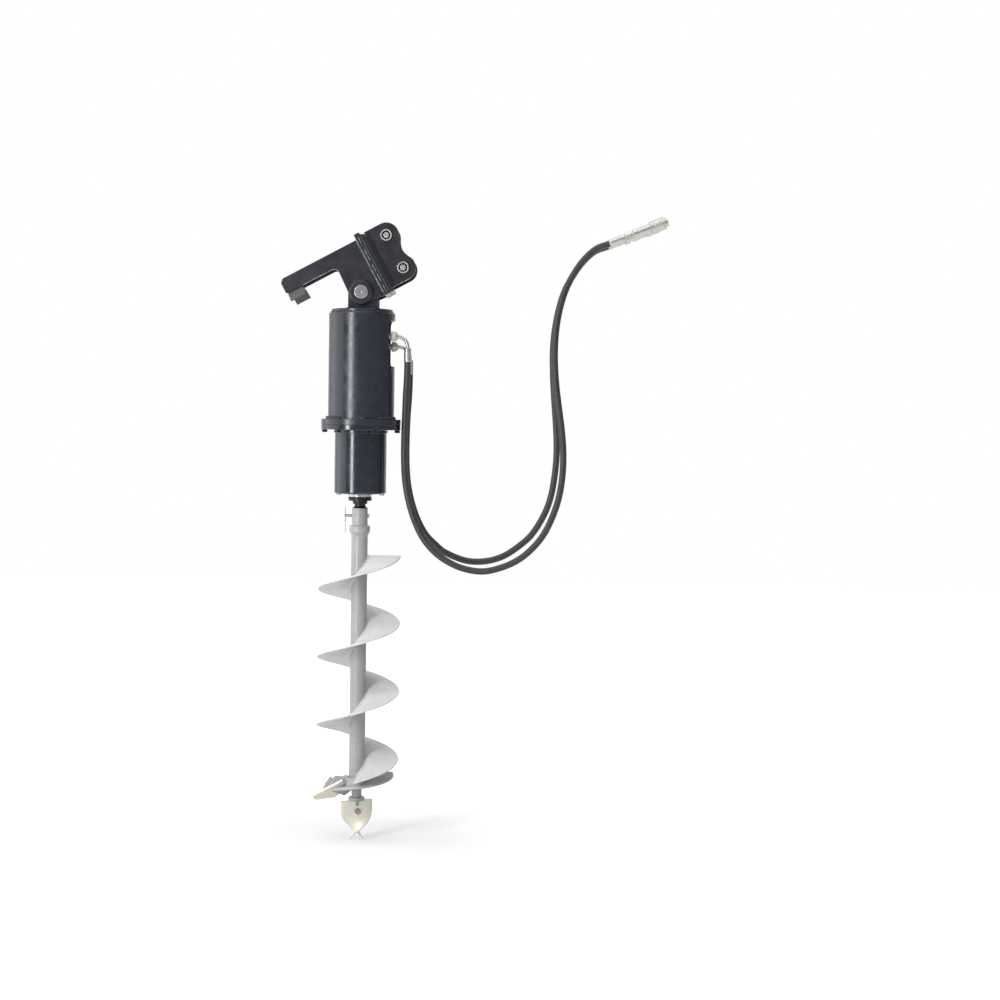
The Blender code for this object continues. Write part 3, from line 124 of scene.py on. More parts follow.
# Route of the clip's wire in Y and Z, from the cross pin's axis, written in millimetres
CLIP_ROUTE = np.array([
    (0, -62), (0, -20), (0, 21), (-0.5, 25), (-2.4, 27.5), (-5, 28.4), (-7.6, 27.5), (-9.5, 25), (-9.5, 21.5),
    (-7, 13.5), (-5.4, 9), (-6.2, 4.5), (-7.4, 0), (-6.2, -4.5), (-5.4, -9), (-7.5, -15), (-11, -21),
]) / 1000


def length(name, description, default):
    """A size in metres that a user may change."""
    return FloatProperty(
        name=name, description=description, default=default, min=0.0, precision=4, subtype="DISTANCE", unit="LENGTH"
    )


def colour(name, description, default):
    """A colour that a user may change, in linear values."""
    return FloatVectorProperty(
        name=name, description=description, default=default, min=0.0, max=1.0, size=3, subtype="COLOR"
    )


class HitchSizes(bpy.types.PropertyGroup):
    """Sizes of the hitch frame."""

    pin_spacing: length("Pin spacing", "Between the two hitch pins", 0.132)
    pin_radius: length("Pin radius", "Hitch pins", 0.015)
    lobe_radius: length("Ear lobe radius", "Round each pin", 0.046)
    waist: length("Ear waist", "From the pins' line to the hollow between the lobes", 0.027)
    ear_thickness: length("Ear thickness", "Each ear", 0.016)
    ear_half: length("Ear reach", "Middle plane to an ear's outer face", 0.075)
    plate_thickness: length("Side plate thickness", "Each side plate", 0.012)
    plate_half: length("Side plate reach", "Middle plane to a side plate's outer face", 0.065)
    cross_half: length("Cross plate half width", "Base plate and mount plate", 0.100)
    pivot_radius: length("Pivot pin radius", "Pin that the drive swings on", 0.025)
    boss_radius: length("Boss radius", "Boss round the pivot pin", 0.040)
    saddle_half: length("Saddle half width", "Middle plane to a wing's edge", 0.110)


class DriveSizes(bpy.types.PropertyGroup):
    """Sizes of the swinging drive unit."""

    housing_radius: length("Housing radius", "Tube round the motor", 0.121)
    housing_wall: length("Housing wall", "Wall of that tube", 0.010)
    window_width: length("Window width", "Opening for the hoses", 0.128)
    window_corner: length("Window corner", "Radius of the opening's corners", 0.018)
    flange_radius: length("Flange radius", "Bolted flanges", 0.1455)
    bolt_circle: length("Bolt circle radius", "Flange bolts", 0.134)
    bolt_count: IntProperty(name="Bolts", description="Flange bolts", default=6, min=3)
    case_radius: length("Case radius", "Gearbox case", 0.095)


class AugerSizes(bpy.types.PropertyGroup):
    """Sizes of the auger."""

    tube_radius: length("Tube radius", "Auger tube", 0.030)
    flight_radius: length("Flight radius", "Outer edge of the flighting", 0.1524)
    flight_thickness: length("Flight thickness", "Plate of the flighting", 0.006)
    turns: FloatProperty(name="Turns", description="Turns of the flighting", default=3.25, min=0.5)
    point_width: length("Point width", "Pilot point at its collar", 0.129)


class HoseSizes(bpy.types.PropertyGroup):
    """Sizes of the hoses and couplers."""

    hose_diameter: length("Hose diameter", "Both hoses", 0.024)
    ferrule_radius: length("Ferrule radius", "Crimped ferrules at the drive", 0.0128)
    sleeve_radius: length("Sleeve radius", "Sliding sleeve of the supply coupler", 0.023)


class Finishes(bpy.types.PropertyGroup):
    """Colours of the finishes."""

    slate: colour("Slate paint", "Housing and gearbox", (0.0105, 0.0138, 0.0235))
    frame: colour("Frame paint", "Plates and ears of the hitch", (0.0115, 0.0130, 0.0175))
    grey_steel: colour("Saddle steel", "Cradle saddle", (0.055, 0.056, 0.060))
    zinc: colour("Zinc plate", "Pins, fittings and couplers", (0.42, 0.42, 0.415))
    black: colour("Black oxide", "Bolts, motor and slinger", (0.0120, 0.0105, 0.0100))
    bare: colour("Machined steel", "Shaft, seal cover, pivot and gears", (0.42, 0.43, 0.44))
    pale: colour("Pale paint", "Flighting and cutter head", (0.60, 0.60, 0.60))
    tube: colour("Tube paint", "Auger tube, cutter holder and pilot shank", (0.325, 0.325, 0.328))
    gold: colour("Hard facing", "Blade and pilot point", (0.78, 0.745, 0.635))
    rust: colour("Rusted bolt", "Pilot bolt", (0.30, 0.24, 0.23))
    rubber: colour("Hose rubber", "Hose covers", (0.022, 0.022, 0.024))
    floor: colour("Floor", "Floor and backdrop", (0.62, 0.62, 0.62))


class StageSizes(bpy.types.PropertyGroup):
    """Camera, lamps and floor."""

    camera_distance: length("Camera distance", "In front of the middle plane", 7.344)
    strip_power: FloatProperty(name="Strip power", description="Tall lamp at front left", default=170.0, unit="POWER")
    side_power: FloatProperty(name="Side power", description="Large lamp at far left", default=80.0, unit="POWER")
    top_power: FloatProperty(name="Top power", description="Large lamp overhead", default=185.0, unit="POWER")
    sky: FloatProperty(name="Sky", description="Strength of the even light all round", default=0.45, min=0.0)


# Surfaces: each is a grid of points, or a list of them, with its faces


def grid(points, around=False):
    """The faces of a grid of points: each point is joined to the next in its row and column, and the last
    column back to the first where the grid goes around."""
    rows, columns = points.shape[:2]
    index = np.arange(rows * columns).reshape(rows, columns)
    right = np.roll(index, -1, 1)
    quads = np.stack([index[:-1], right[:-1], right[1:], index[1:]], -1)
    if not around:
        quads = quads[:, :-1]
    return points.reshape(-1, 3), quads.reshape(-1, 4).tolist()


def joined(*parts):
    """Several surfaces as one: their points in a row, and their faces counted on."""
    starts = np.cumsum([0] + [len(points) for points, _ in parts])
    faces = [[int(start) + i for i in face] for start, (_, made) in zip(starts, parts) for face in made]
    return np.concatenate([points for points, _ in parts]), faces


def placed(matrix, part):
    """A surface moved by a matrix: each point times the turn, plus the shift."""
    points, faces = part
    matrix = np.asarray(matrix)
    return points @ matrix[:3, :3].T + matrix[:3, 3], faces


def aimed(start, ahead):
    """The matrix that puts local Z along a direction, from a start point."""
    ahead = np.asarray(ahead, float) / np.linalg.norm(ahead)
    side = np.cross((0, 1, 0), ahead) if abs(ahead[1]) < 0.9 else np.array([1.0, 0, 0])
    side = side / np.linalg.norm(side)
    matrix = np.eye(4)
    matrix[:3, 0], matrix[:3, 1], matrix[:3, 2], matrix[:3, 3] = side, np.cross(ahead, side), ahead, start
    return matrix


def rounded(points, cut, steps=4, closed=True):
    """An outline with each corner replaced by a parabola: it leaves one side at the cut distance from the
    corner and joins the next side at the same distance, with the corner as its pole. A point further along
    each side keeps the shading of the flats flat."""
    most, shelf = 0.4, 1.25
    points = np.asarray(points, float)
    back, ahead = np.roll(points, 1, 0) - points, np.roll(points, -1, 0) - points
    far_back, far_ahead = (np.maximum(np.linalg.norm(side, axis=1), 1e-9) for side in (back, ahead))
    cut = np.minimum(np.broadcast_to(np.asarray(cut, float), len(points)), most * np.minimum(far_back, far_ahead))
    if not closed:
        cut = cut * np.r_[0, np.ones(len(points) - 2), 0]
    leave, join = back / far_back[:, None] * cut[:, None], ahead / far_ahead[:, None] * cut[:, None]
    t = np.linspace(0, 1, steps + 1)[:, None, None]
    bend = (1 - t) ** 2 * leave + t**2 * join
    bend = np.concatenate([shelf * leave[None], bend, shelf * join[None]]) + points
    return bend.transpose(1, 0, 2).reshape(-1, 2)


def arc(centre, radius, start, end, steps):
    """Points on an arc: the centre plus the radius times the cosine and sine of evenly spaced angles."""
    angles = np.radians(np.linspace(start, end, steps + 1))
    return np.stack([centre[0] + radius * np.cos(angles), centre[1] + radius * np.sin(angles)], -1)


def round_turn(steps):
    """Even angles for one turn, without the last."""
    return np.linspace(0, TAU, steps, endpoint=False)


def about_z(radius, angles, heights):
    """Points round Z: the radius times the cosine and sine of the angle, at its height."""
    return np.stack(np.broadcast_arrays(radius * np.cos(angles), radius * np.sin(angles), heights), -1)


def revolved(profile, steps=96, angles=None):
    """A profile of radius and height turned about Z. A radius of zero closes the form on the axis."""
    profile = np.asarray(profile, float)
    angles = round_turn(steps) if angles is None else angles
    return grid(about_z(profile[:, :1], angles, profile[:, 1:]), True)


def turned(profile, cut=0.001, steps=96):
    """A revolved body whose profile has rounded corners."""
    return revolved(rounded(profile, cut, closed=False), steps)


def ring(outer, inner, low, high, cut=0.001, steps=96):
    """A plain ring: a closed rectangle of radius and height, rounded and revolved."""
    outline = rounded([(outer, low), (outer, high), (inner, high), (inner, low)], cut)
    return revolved(np.vstack([outline, outline[:1]]), steps)


def inset(outline, by):
    """An outline moved inwards: each point goes against the outward normal of its neighbours' chord."""
    after = np.roll(outline, -1, 0)
    chord = after - np.roll(outline, 1, 0)
    chord /= np.maximum(np.linalg.norm(chord, axis=1), 1e-9)[:, None]
    area = np.sum(outline[:, 0] * after[:, 1] - after[:, 0] * outline[:, 1])
    outward = np.stack([chord[:, 1], -chord[:, 0]], -1) * np.sign(area)
    return outline - outward * by


def plate(outline, near, far, edge=0.0012):
    """A flat plate: an outline in X and Z carried along Y, whose edges are quarter rounds. Rows of the outline
    run from the near face over the edge, along the side and over the far edge, and each end is one face."""
    outline = np.asarray(outline, float)
    near, far = min(near, far), max(near, far)
    lean = np.linspace(0, math.pi / 2, 4)
    face_row, side_row = 1.15 * edge, 1.3 * edge
    pull = np.r_[face_row, edge * (1 - np.sin(lean)), 0]
    rise = np.r_[0, edge * (1 - np.cos(lean)), side_row]
    across = np.r_[near + rise, (far - rise)[::-1]]
    rows = np.stack([inset(outline, by) for by in (*pull, *pull[::-1])])
    depth = np.broadcast_to(across[:, None], rows.shape[:2])
    points, faces = grid(np.stack([rows[..., 0], depth, rows[..., 1]], -1), True)
    count = len(outline)
    last = len(points) - count
    return points, faces + [list(range(count)), [last + i for i in range(count)]]


def block(low, high, edge=0.002):
    """A box with rounded edges all round, as a plate with rounded corners."""
    corners = [(low[0], low[2]), (high[0], low[2]), (high[0], high[2]), (low[0], high[2])]
    return plate(rounded(corners, edge * 1.8), low[1], high[1], edge)


def tube(path, radius, sides=24, aside=(0, 1, 0)):
    """A round body along a path: at each point a circle stands square to the path, on the axis across both
    path and side vector and on the one square to that. The ends close to a point."""
    path = np.asarray(path, float)
    radius = np.broadcast_to(np.asarray(radius, float), len(path))
    ahead = np.gradient(path, axis=0)
    ahead /= np.linalg.norm(ahead, axis=1)[:, None]
    first = np.cross(ahead, np.broadcast_to(np.asarray(aside, float), ahead.shape))
    first /= np.linalg.norm(first, axis=1)[:, None]
    second = np.cross(ahead, first)
    angles = round_turn(sides)[None, :, None]
    circle = first[:, None] * np.cos(angles) + second[:, None] * np.sin(angles)
    points = path[:, None] + circle * radius[:, None, None]
    ends = np.repeat(path[[0, -1], None], sides, 1)
    return grid(np.concatenate([ends[:1], points, ends[1:]]), True)


def distances(line):
    """How far along a line each of its points is."""
    return np.r_[0, np.cumsum(np.linalg.norm(np.diff(line, axis=0), axis=1))]


def resampled(line, at):
    """The points at given distances along a line."""
    far = distances(line)
    return np.stack([np.interp(at, far, column) for column in line.T], -1)


def weld(path, size, aside=(0, 1, 0), ripple=0.004):
    """A weld bead: a tube along a path, whose radius swells and falls in a wave of the ripple's length and
    tapers at both ends."""
    path = np.asarray(path, float)
    far = distances(path)[-1]
    at = np.linspace(0, far, max(12, int(far / ripple * 6)))
    swell, drift = 0.10 * np.abs(np.sin(math.pi * at / ripple)), 0.05 * np.sin(at * 210.0)
    taper = np.clip(np.minimum(at, far - at) / (1.5 * size), 0, 1) ** 0.5
    return tube(resampled(path, at), size * (1 + swell + drift) * np.maximum(taper, 0.05), 12, aside)


def circle_path(radius, height, start=0.0, turn=TAU):
    """Points on a level circle."""
    return about_z(radius, start + np.linspace(0, turn, 241), height)


def hexagon(across, low, high, chamfer=0.0016, turn=0.0, bore=0.0):
    """A hexagonal nut or head: at each angle the radius is half the flats' distance over the cosine of the
    angle from the nearest flat, and near both ends it is held under a cone that starts just inside the
    flats."""
    angles = round_turn(120)
    flat = (angles - turn) % (TAU / 6) - TAU / 12
    side = across / 2 / np.cos(flat)
    heights = np.r_[0, chamfer * np.linspace(0, 1, 5), chamfer * 1.3]
    levels = np.r_[low, low + heights, (high - heights)[::-1], high]
    cone_start, cone_slope, end_share = 0.475, 1.9, 0.9
    limit = across * cone_start + heights * cone_slope
    radius = np.minimum(side[None], np.r_[limit, limit[::-1]][:, None])
    radius[[0, -1]] *= end_share
    end = np.full_like(side, bore)
    return grid(about_z(np.vstack([end, radius, end]), angles, levels[:, None]), True)


def smooth_route(route, spacing):
    """Even points on a smooth curve through the route's own points: each stretch is the cubic whose slope at a
    point is half the step between its neighbours, and the whole is measured again at even distances."""
    route = np.asarray(route, float)
    ends = np.vstack([2 * route[0] - route[1], route, 2 * route[-1] - route[-2]])
    a, b, c, d = ends[:-3, None], ends[1:-2, None], ends[2:-1, None], ends[3:, None]
    s = np.linspace(0, 1, 12, endpoint=False)[None, :, None]
    fine = 0.5 * (2 * b + (c - a) * s + (2 * a - 5 * b + 4 * c - d) * s**2 + (3 * (b - c) + d - a) * s**3)
    fine = np.vstack([fine.reshape(-1, 3), route[-1:]])
    far = distances(fine)[-1]
    return resampled(fine, np.linspace(0, far, int(round(far / spacing)) + 1)), far


def helix_plate(inner, outer, start, pitch, turns, thickness, first=0.0):
    """A helical plate that goes down clockwise: a thin section, rounded at its outer edge, is carried round
    the axis while it sinks by the pitch each turn. The radii may change along the way."""
    count = int(HELIX_STEPS * turns) + 1
    share = np.linspace(0, 1, count)
    angle = (first - TAU * turns * share)[:, None]
    drop = (start + pitch * turns * share)[:, None]
    inner, outer = (np.broadcast_to(np.asarray(radius, float), count)[:, None] for radius in (inner, outer))
    half = thickness / 2
    lean = np.linspace(math.pi / 2, -math.pi / 2, 7)
    flat, level = [0, 0.3, 0.6, 0.97], np.zeros(4)
    reach = np.r_[flat, np.ones(7), flat[::-1]]
    swell = np.r_[level, half * np.cos(lean), level]
    height = np.r_[level, half * np.sin(lean) - half, level - thickness]
    points = about_z(inner + (outer - half - inner) * reach + swell, angle, height - drop)
    ends = np.repeat(points[[0, -1]].mean(1, keepdims=True), points.shape[1], 1)
    return grid(np.concatenate([ends[:1], points, ends[1:]]), True)


def helix_path(radius, start, pitch, turns):
    """Points on a helix that goes down clockwise."""
    share = np.linspace(0, 1, int(120 * turns) + 1)
    return about_z(radius, -TAU * turns * share, -(start + pitch * turns * share))


def piece(name, part, finish, body=None, nodes=(), slot=None, sharp=32, along=None):
    """A surface as an object: its doubles are merged, its faces turned outwards, and its edges left sharp
    where they bend by more than an angle. A value for each point, for its material, goes in as along. The slot
    is not used."""
    points, faces = part
    mesh = bpy.data.meshes.new(name)
    mesh.from_pydata(points.tolist(), [], faces)
    if along is not None:
        mesh.attributes.new("along", "FLOAT_VECTOR", "POINT").data.foreach_set("vector", along.ravel())
    work = bmesh.new()
    work.from_mesh(mesh)
    bmesh.ops.remove_doubles(work, verts=work.verts, dist=2e-6)
    bmesh.ops.dissolve_degenerate(work, edges=work.edges, dist=1e-7)
    bmesh.ops.recalc_face_normals(work, faces=work.faces)
    work.to_mesh(mesh)
    work.free()
    mesh.shade_smooth()
    mesh.set_sharp_from_angle(angle=math.radians(sharp))
    mesh.materials.append(bpy.data.materials[finish])
    made = bpy.data.objects.new(name, mesh)
    bpy.context.scene.collection.objects.link(made)
    if body:
        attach(made, body)
    if nodes:
        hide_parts(*nodes)
    return made


# Finishes


def shade(colour, by):
    """A colour made darker or lighter, with full alpha."""
    return (*[min(1.0, c * by) for c in colour], 1.0)


class Nodes:
    """The shader nodes of a material or of the world."""

    def __init__(self, tree):
        self.tree = tree

    def node(self, kind, inputs=None, **settings):
        """A node with its settings, its values and its links."""
        made = self.tree.nodes.new("ShaderNode" + kind)
        for key, value in settings.items():
            setattr(made, key, value)
        for key, value in (inputs or {}).items():
            if isinstance(value, bpy.types.NodeSocket):
                self.tree.links.new(value, made.inputs[key])
            else:
                made.inputs[key].default_value = value
        return made

    def ranged(self, value, low, high, to_low=0.0, to_high=1.0):
        """A value carried from one range to another and held there."""
        inputs = {"Value": value, "From Min": low, "From Max": high, "To Min": to_low, "To Max": to_high}
        return self.node("MapRange", inputs, clamp=True).outputs["Result"]

    def larger(self, first, second):
        """The larger of two values."""
        return self.node("Math", {0: first, 1: second}, operation="MAXIMUM").outputs[0]

    def seen_as_white(self):
        """One where the camera, gloss or glass looks, and nought for scattered light."""
        ray = self.node("LightPath").outputs
        return self.larger(ray["Is Camera Ray"], self.larger(ray["Is Glossy Ray"], ray["Is Transmission Ray"]))


class Coat(Nodes):
    """A material of one main colour, on a surface's object coordinates."""

    def __init__(self, name, colour, metallic=0.0, gloss=0.5):
        self.made = bpy.data.materials.new(name)
        self.made.use_nodes = True
        super().__init__(self.made.node_tree)
        self.colour = colour
        self.shader = self.tree.nodes["Principled BSDF"]
        self.shader.inputs["Metallic"].default_value = metallic
        self.shader.inputs["Specular IOR Level"].default_value = gloss
        self.where = self.node("TexCoord").outputs["Object"]

    def stretched(self, scale, shift=(0, 0, 0)):
        """Coordinates with their own scale on each axis."""
        return self.node("Mapping", {"Vector": self.where, "Scale": scale, "Location": shift}).outputs["Vector"]

    def noise(self, scale, detail=3.0, where=None):
        """Noise over a place, as a value."""
        inputs = {"Vector": where or self.where, "Scale": scale, "Detail": detail, "Roughness": 0.55}
        return self.node("TexNoise", inputs).outputs["Fac"]

    def patches(self, scale, detail, low, high, to_low=0.0, to_high=1.0, where=None):
        """Noise whose values between two limits are carried to another range."""
        return self.ranged(self.noise(scale, detail, where), low, high, to_low, to_high)

    def mixed(self, factor, low, high):
        """Two colours mixed by a factor. A number stands for the main colour times that number."""
        low, high = (shade(self.colour, c) if isinstance(c, float) else c for c in (low, high))
        return self.node("Mix", {0: factor, 6: low, 7: high}, data_type="RGBA").outputs[2]

    def lay(self, tone, rough=None):
        """The tone, and the roughness if it changes, linked to the shader."""
        self.tree.links.new(tone, self.shader.inputs["Base Color"])
        if rough:
            self.tree.links.new(rough, self.shader.inputs["Roughness"])

    def bump(self, *heights, strength=0.4, depth=0.0004):
        """Bumps from several heights, one on the other."""
        normal = {}
        for height, share in heights:
            inputs = {"Height": height, "Strength": strength * share, "Distance": depth, **normal}
            normal = {"Normal": self.node("Bump", inputs).outputs["Normal"]}
        self.tree.links.new(normal["Normal"], self.shader.inputs["Normal"])


def painted(name, colour, roughness=0.27, dust=0.15, peel=0.30, gloss=0.5):
    """Sprayed paint: broad soft changes of tone, dust in fine specks, thin scuffs, and the orange peel of the
    spray as bump."""
    coat = Coat(name, colour, gloss=gloss)
    tone = coat.mixed(coat.patches(7.0, 4.0, 0.35, 0.65), 0.86, 1.14)
    dusty = shade([0.5 * (c + 0.12) for c in colour], 1.0)
    tone = coat.mixed(coat.patches(420.0, 2.0, 0.62, 0.72, 0.0, dust), tone, dusty)
    scuffs = coat.patches(1.0, 2.0, 0.70, 0.78, 0.0, 0.5 * dust, coat.stretched((60.0, 60.0, 900.0)))
    tone = coat.mixed(scuffs, tone, 2.2)
    coat.lay(tone, coat.patches(26.0, 5.0, 0.3, 0.7, roughness - 0.07, roughness + 0.09))
    coat.bump((coat.noise(900.0, 2.0), 0.35 * peel), (coat.noise(90.0), 0.5 * peel))


def plated(name, colour, roughness=0.38):
    """Zinc plate: cloudy tone, a little yellow in patches, fine handling marks in the roughness."""
    coat = Coat(name, colour, metallic=1.0)
    warm = shade((colour[0] * 1.04, colour[1], colour[2] * 0.90), 1.06)
    tone = coat.mixed(coat.patches(55.0, 5.0, 0.3, 0.7), 0.90, warm)
    tone = coat.mixed(coat.patches(300.0, 2.0, 0.62, 0.74, 0.0, 0.10), tone, 0.45)
    coat.lay(tone, coat.patches(160.0, 4.0, 0.3, 0.7, roughness - 0.05, roughness + 0.08))
    coat.bump((coat.noise(250.0, 2.0), 0.03), depth=0.0002)


def machined(name, colour, roughness=0.24, pitch=1500.0, kind="BANDS", axis="Z", centre=(0, 0, 0)):
    """Turned steel: the tool's fine rings as bump and roughness, in bands along the axis that the work turned
    on, or in rings round it on a face."""
    coat = Coat(name, colour, metallic=1.0)
    where = coat.stretched((1, 1, 1), tuple(-c for c in centre))
    turn = {"wave_type": kind, kind.lower() + "_direction": axis}
    inputs = {"Vector": where, "Scale": pitch / TAU, "Distortion": 1.5, "Detail": 2.0}
    lines = coat.node("TexWave", inputs, **turn).outputs["Fac"]
    tone = coat.mixed(coat.patches(30.0, 4.0, 0.3, 0.7), 0.86, 1.12)
    coat.lay(tone, coat.ranged(lines, 0.0, 1.0, roughness - 0.06, roughness + 0.08))
    coat.bump((lines, 0.25), depth=0.0001)


def worn_pale(name, colour, roughness=0.5):
    """Pale paint rubbed by soil: broad tone, rub marks that run down, and fine grit as bump."""
    coat = Coat(name, colour)
    tone = coat.mixed(coat.patches(11.0, 5.0, 0.3, 0.7), 0.90, 1.08)
    rubs = coat.patches(1.0, 4.0, 0.58, 0.74, 0.0, 0.45, coat.stretched((220.0, 220.0, 30.0)))
    tone = coat.mixed(rubs, tone, 0.72)
    tone = coat.mixed(coat.patches(310.0, 3.0, 0.68, 0.74, 0.0, 0.6), tone, 0.55)
    coat.lay(tone, coat.patches(80.0, 4.0, 0.3, 0.7, roughness - 0.1, roughness + 0.12))
    coat.bump((coat.noise(500.0), 0.4), (coat.noise(60.0), 0.4))


def hard_faced(name, colour):
    """Hard facing: pale gold metal laid in lumpy drops, darker between them."""
    coat = Coat(name, colour, metallic=0.25)
    drops = coat.node("TexVoronoi", {"Vector": coat.where, "Scale": 420.0, "Randomness": 0.9}).outputs["Distance"]
    broad = coat.noise(40.0, 4.0)
    tone = coat.mixed(coat.ranged(drops, 0.1, 0.8), 1.06, 0.86)
    tone = coat.mixed(coat.ranged(broad, 0.5, 0.7, 0.0, 0.25), tone, (0.70, 0.60, 0.48, 1.0))
    coat.lay(tone, coat.ranged(broad, 0.3, 0.7, 0.38, 0.62))
    coat.bump((drops, -0.3), (coat.noise(900.0, 2.0), 0.15))


def lumpy(name, colour, metallic, grain, span, tones, rough, bumps):
    """A lumpy skin, as on rust or a painted weld bead: one noise gives the tone, the roughness and the bump."""
    coat = Coat(name, colour, metallic=metallic)
    lumps = coat.noise(*grain)
    coat.lay(coat.mixed(coat.ranged(lumps, *span), *tones), coat.ranged(lumps, 0.3, 0.7, *rough))
    coat.bump((lumps, bumps))


def hose_cover(name, colour):
    """Wrapped rubber: the cloth's fine weave pressed into the cover, read from the angle and the distance
    along the hose, with dust in patches."""
    coat = Coat(name, colour, gloss=0.45)
    along = coat.node("Attribute", attribute_name="along").outputs["Vector"]
    weave = {"Vector": along, "Scale": 330.0, "Distortion": 0.6, "Detail": 1.0}
    wrap = coat.node("TexWave", weave, wave_type="BANDS", bands_direction="Z").outputs["Fac"]
    dust = coat.patches(19.0, 5.0, 0.35, 0.7)
    tone = coat.mixed(dust, 0.85, 1.35)
    tone = coat.mixed(coat.patches(260.0, 3.0, 0.64, 0.74, 0.0, 0.35), tone, 2.4)
    coat.lay(tone, coat.ranged(dust, 0.0, 1.0, 0.42, 0.62))
    coat.bump((wrap, 0.35), (coat.noise(800.0, 2.0), 0.3), depth=0.0003)


def painted_edge_highlight(name, colour, bare):
    """A painted highlight along an edge: pale lines in long broken runs, lighter than the paint, stand for the light
    that the edge catches.
    """
    coat = Coat(name, colour)
    # Lighter paint and pale grey in broken runs: the painted highlight of the edge.
    runs = coat.patches(38.0, 4.0, 0.42, 0.52)
    coat.lay(coat.mixed(runs, 2.0, shade(bare, 0.6)), coat.ranged(runs, 0.0, 1.0, 0.45, 0.3))


def make_finishes(look):
    """All finishes, made once."""
    if "slate paint" in bpy.data.materials:
        return
    painted("slate paint", look.slate)
    painted("case paint", look.slate, 0.17, 0.15, 0.14)
    painted("frame paint", look.frame, 0.30, 0.15, 0.30)
    painted("saddle steel paint", look.grey_steel, 0.45, 0.4)
    # Pale lines for the plates' edges: a painted highlight.
    painted_edge_highlight("worn edge", look.slate, look.pale)
    plated("zinc plate", look.zinc)
    painted("black oxide", look.black, 0.32, 0.06, 0.3, 0.25)
    machined("turned steel", look.bare)
    machined("faced steel", look.bare, 0.26, 900.0, "RINGS", "Y", PIVOT)
    worn_pale("pale paint", look.pale)
    worn_pale("tube paint", look.tube, 0.34)
    worn_pale("cutter paint", [0.64 * c for c in look.pale], 0.42)
    hard_faced("hard facing", look.gold)
    lumpy("rusted steel", look.rust, 0.2, (260.0, 6.0), (0.35, 0.65), (0.6, 1.7), (0.6, 0.85), 0.8)
    hose_cover("wrapped rubber", look.rubber)
    bead = (0.1, (240.0, 4.0), (0.4, 0.6), (0.85, 1.2), (0.35, 0.55), 0.6)
    lumpy("slate weld", look.slate, *bead)
    lumpy("pale weld", [0.82 * c for c in look.pale], *bead)


# Operators, one for each piece or group of like pieces


def on_hitch(name, part, finish, *nodes, **more):
    """A piece of the hitch, taken from the hitch's tilted axes to the row frame."""
    return piece(name, placed(HITCH_TURN, part), finish, "hitch", nodes, **more)


def on_drive(name, part, finish, *nodes, **more):
    """A piece of the swinging drive, taken from the drive's axes to the row frame."""
    return piece(name, placed(DRIVE_PLACE, part), finish, "drive", nodes, **more)


def on_output(name, part, finish, *nodes, **more):
    """A piece that turns with the output, taken from the drive's axes to the row frame."""
    return piece(name, placed(DRIVE_PLACE, part), finish, "output", nodes, **more)


def crimped(radius, depth, low, high, pitch, share):
    """The profile of a crimped ferrule: its radius steps in wherever a wave along it stands above a share."""
    along = np.linspace(low, high, 60)
    return np.stack([radius - depth * (np.sin(along * TAU / pitch) > share), along], -1)


def upright_welds(x, across, low, high, size):
    """Straight upright beads at one place along X, one for each place across."""
    return [weld([(x, y, low), (x, y, high)], size) for y in across]


class Builder(bpy.types.Operator):
    """What all the builders share."""

    bl_options = {"REGISTER", "UNDO"}

    def execute(self, context):
        make_finishes(context.scene.auger_finishes)
        self.build(context.scene)
        return {"FINISHED"}


class AUGER_OT_hoses(Builder):
    """The two hoses, from the drive's ferrules to the couplers"""

    bl_idname = "auger.hoses"
    bl_label = "Hoses"

    def build(self, scene):
        size = scene.auger_hoses
        for name, route in (("supply", SUPPLY_ROUTE), ("return", RETURN_ROUTE)):
            path, far = smooth_route(route, 0.006)
            part = tube(path, size.hose_diameter / 2, 32)
            ways = np.r_[0, np.linspace(0, far, len(path)), far]
            along = about_z(0.3, round_turn(32), ways[:, None])
            made = piece(f"{name}_hose_cover", part, "wrapped rubber", nodes=[f"{name}_hose"], along=along)
            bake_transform(made)


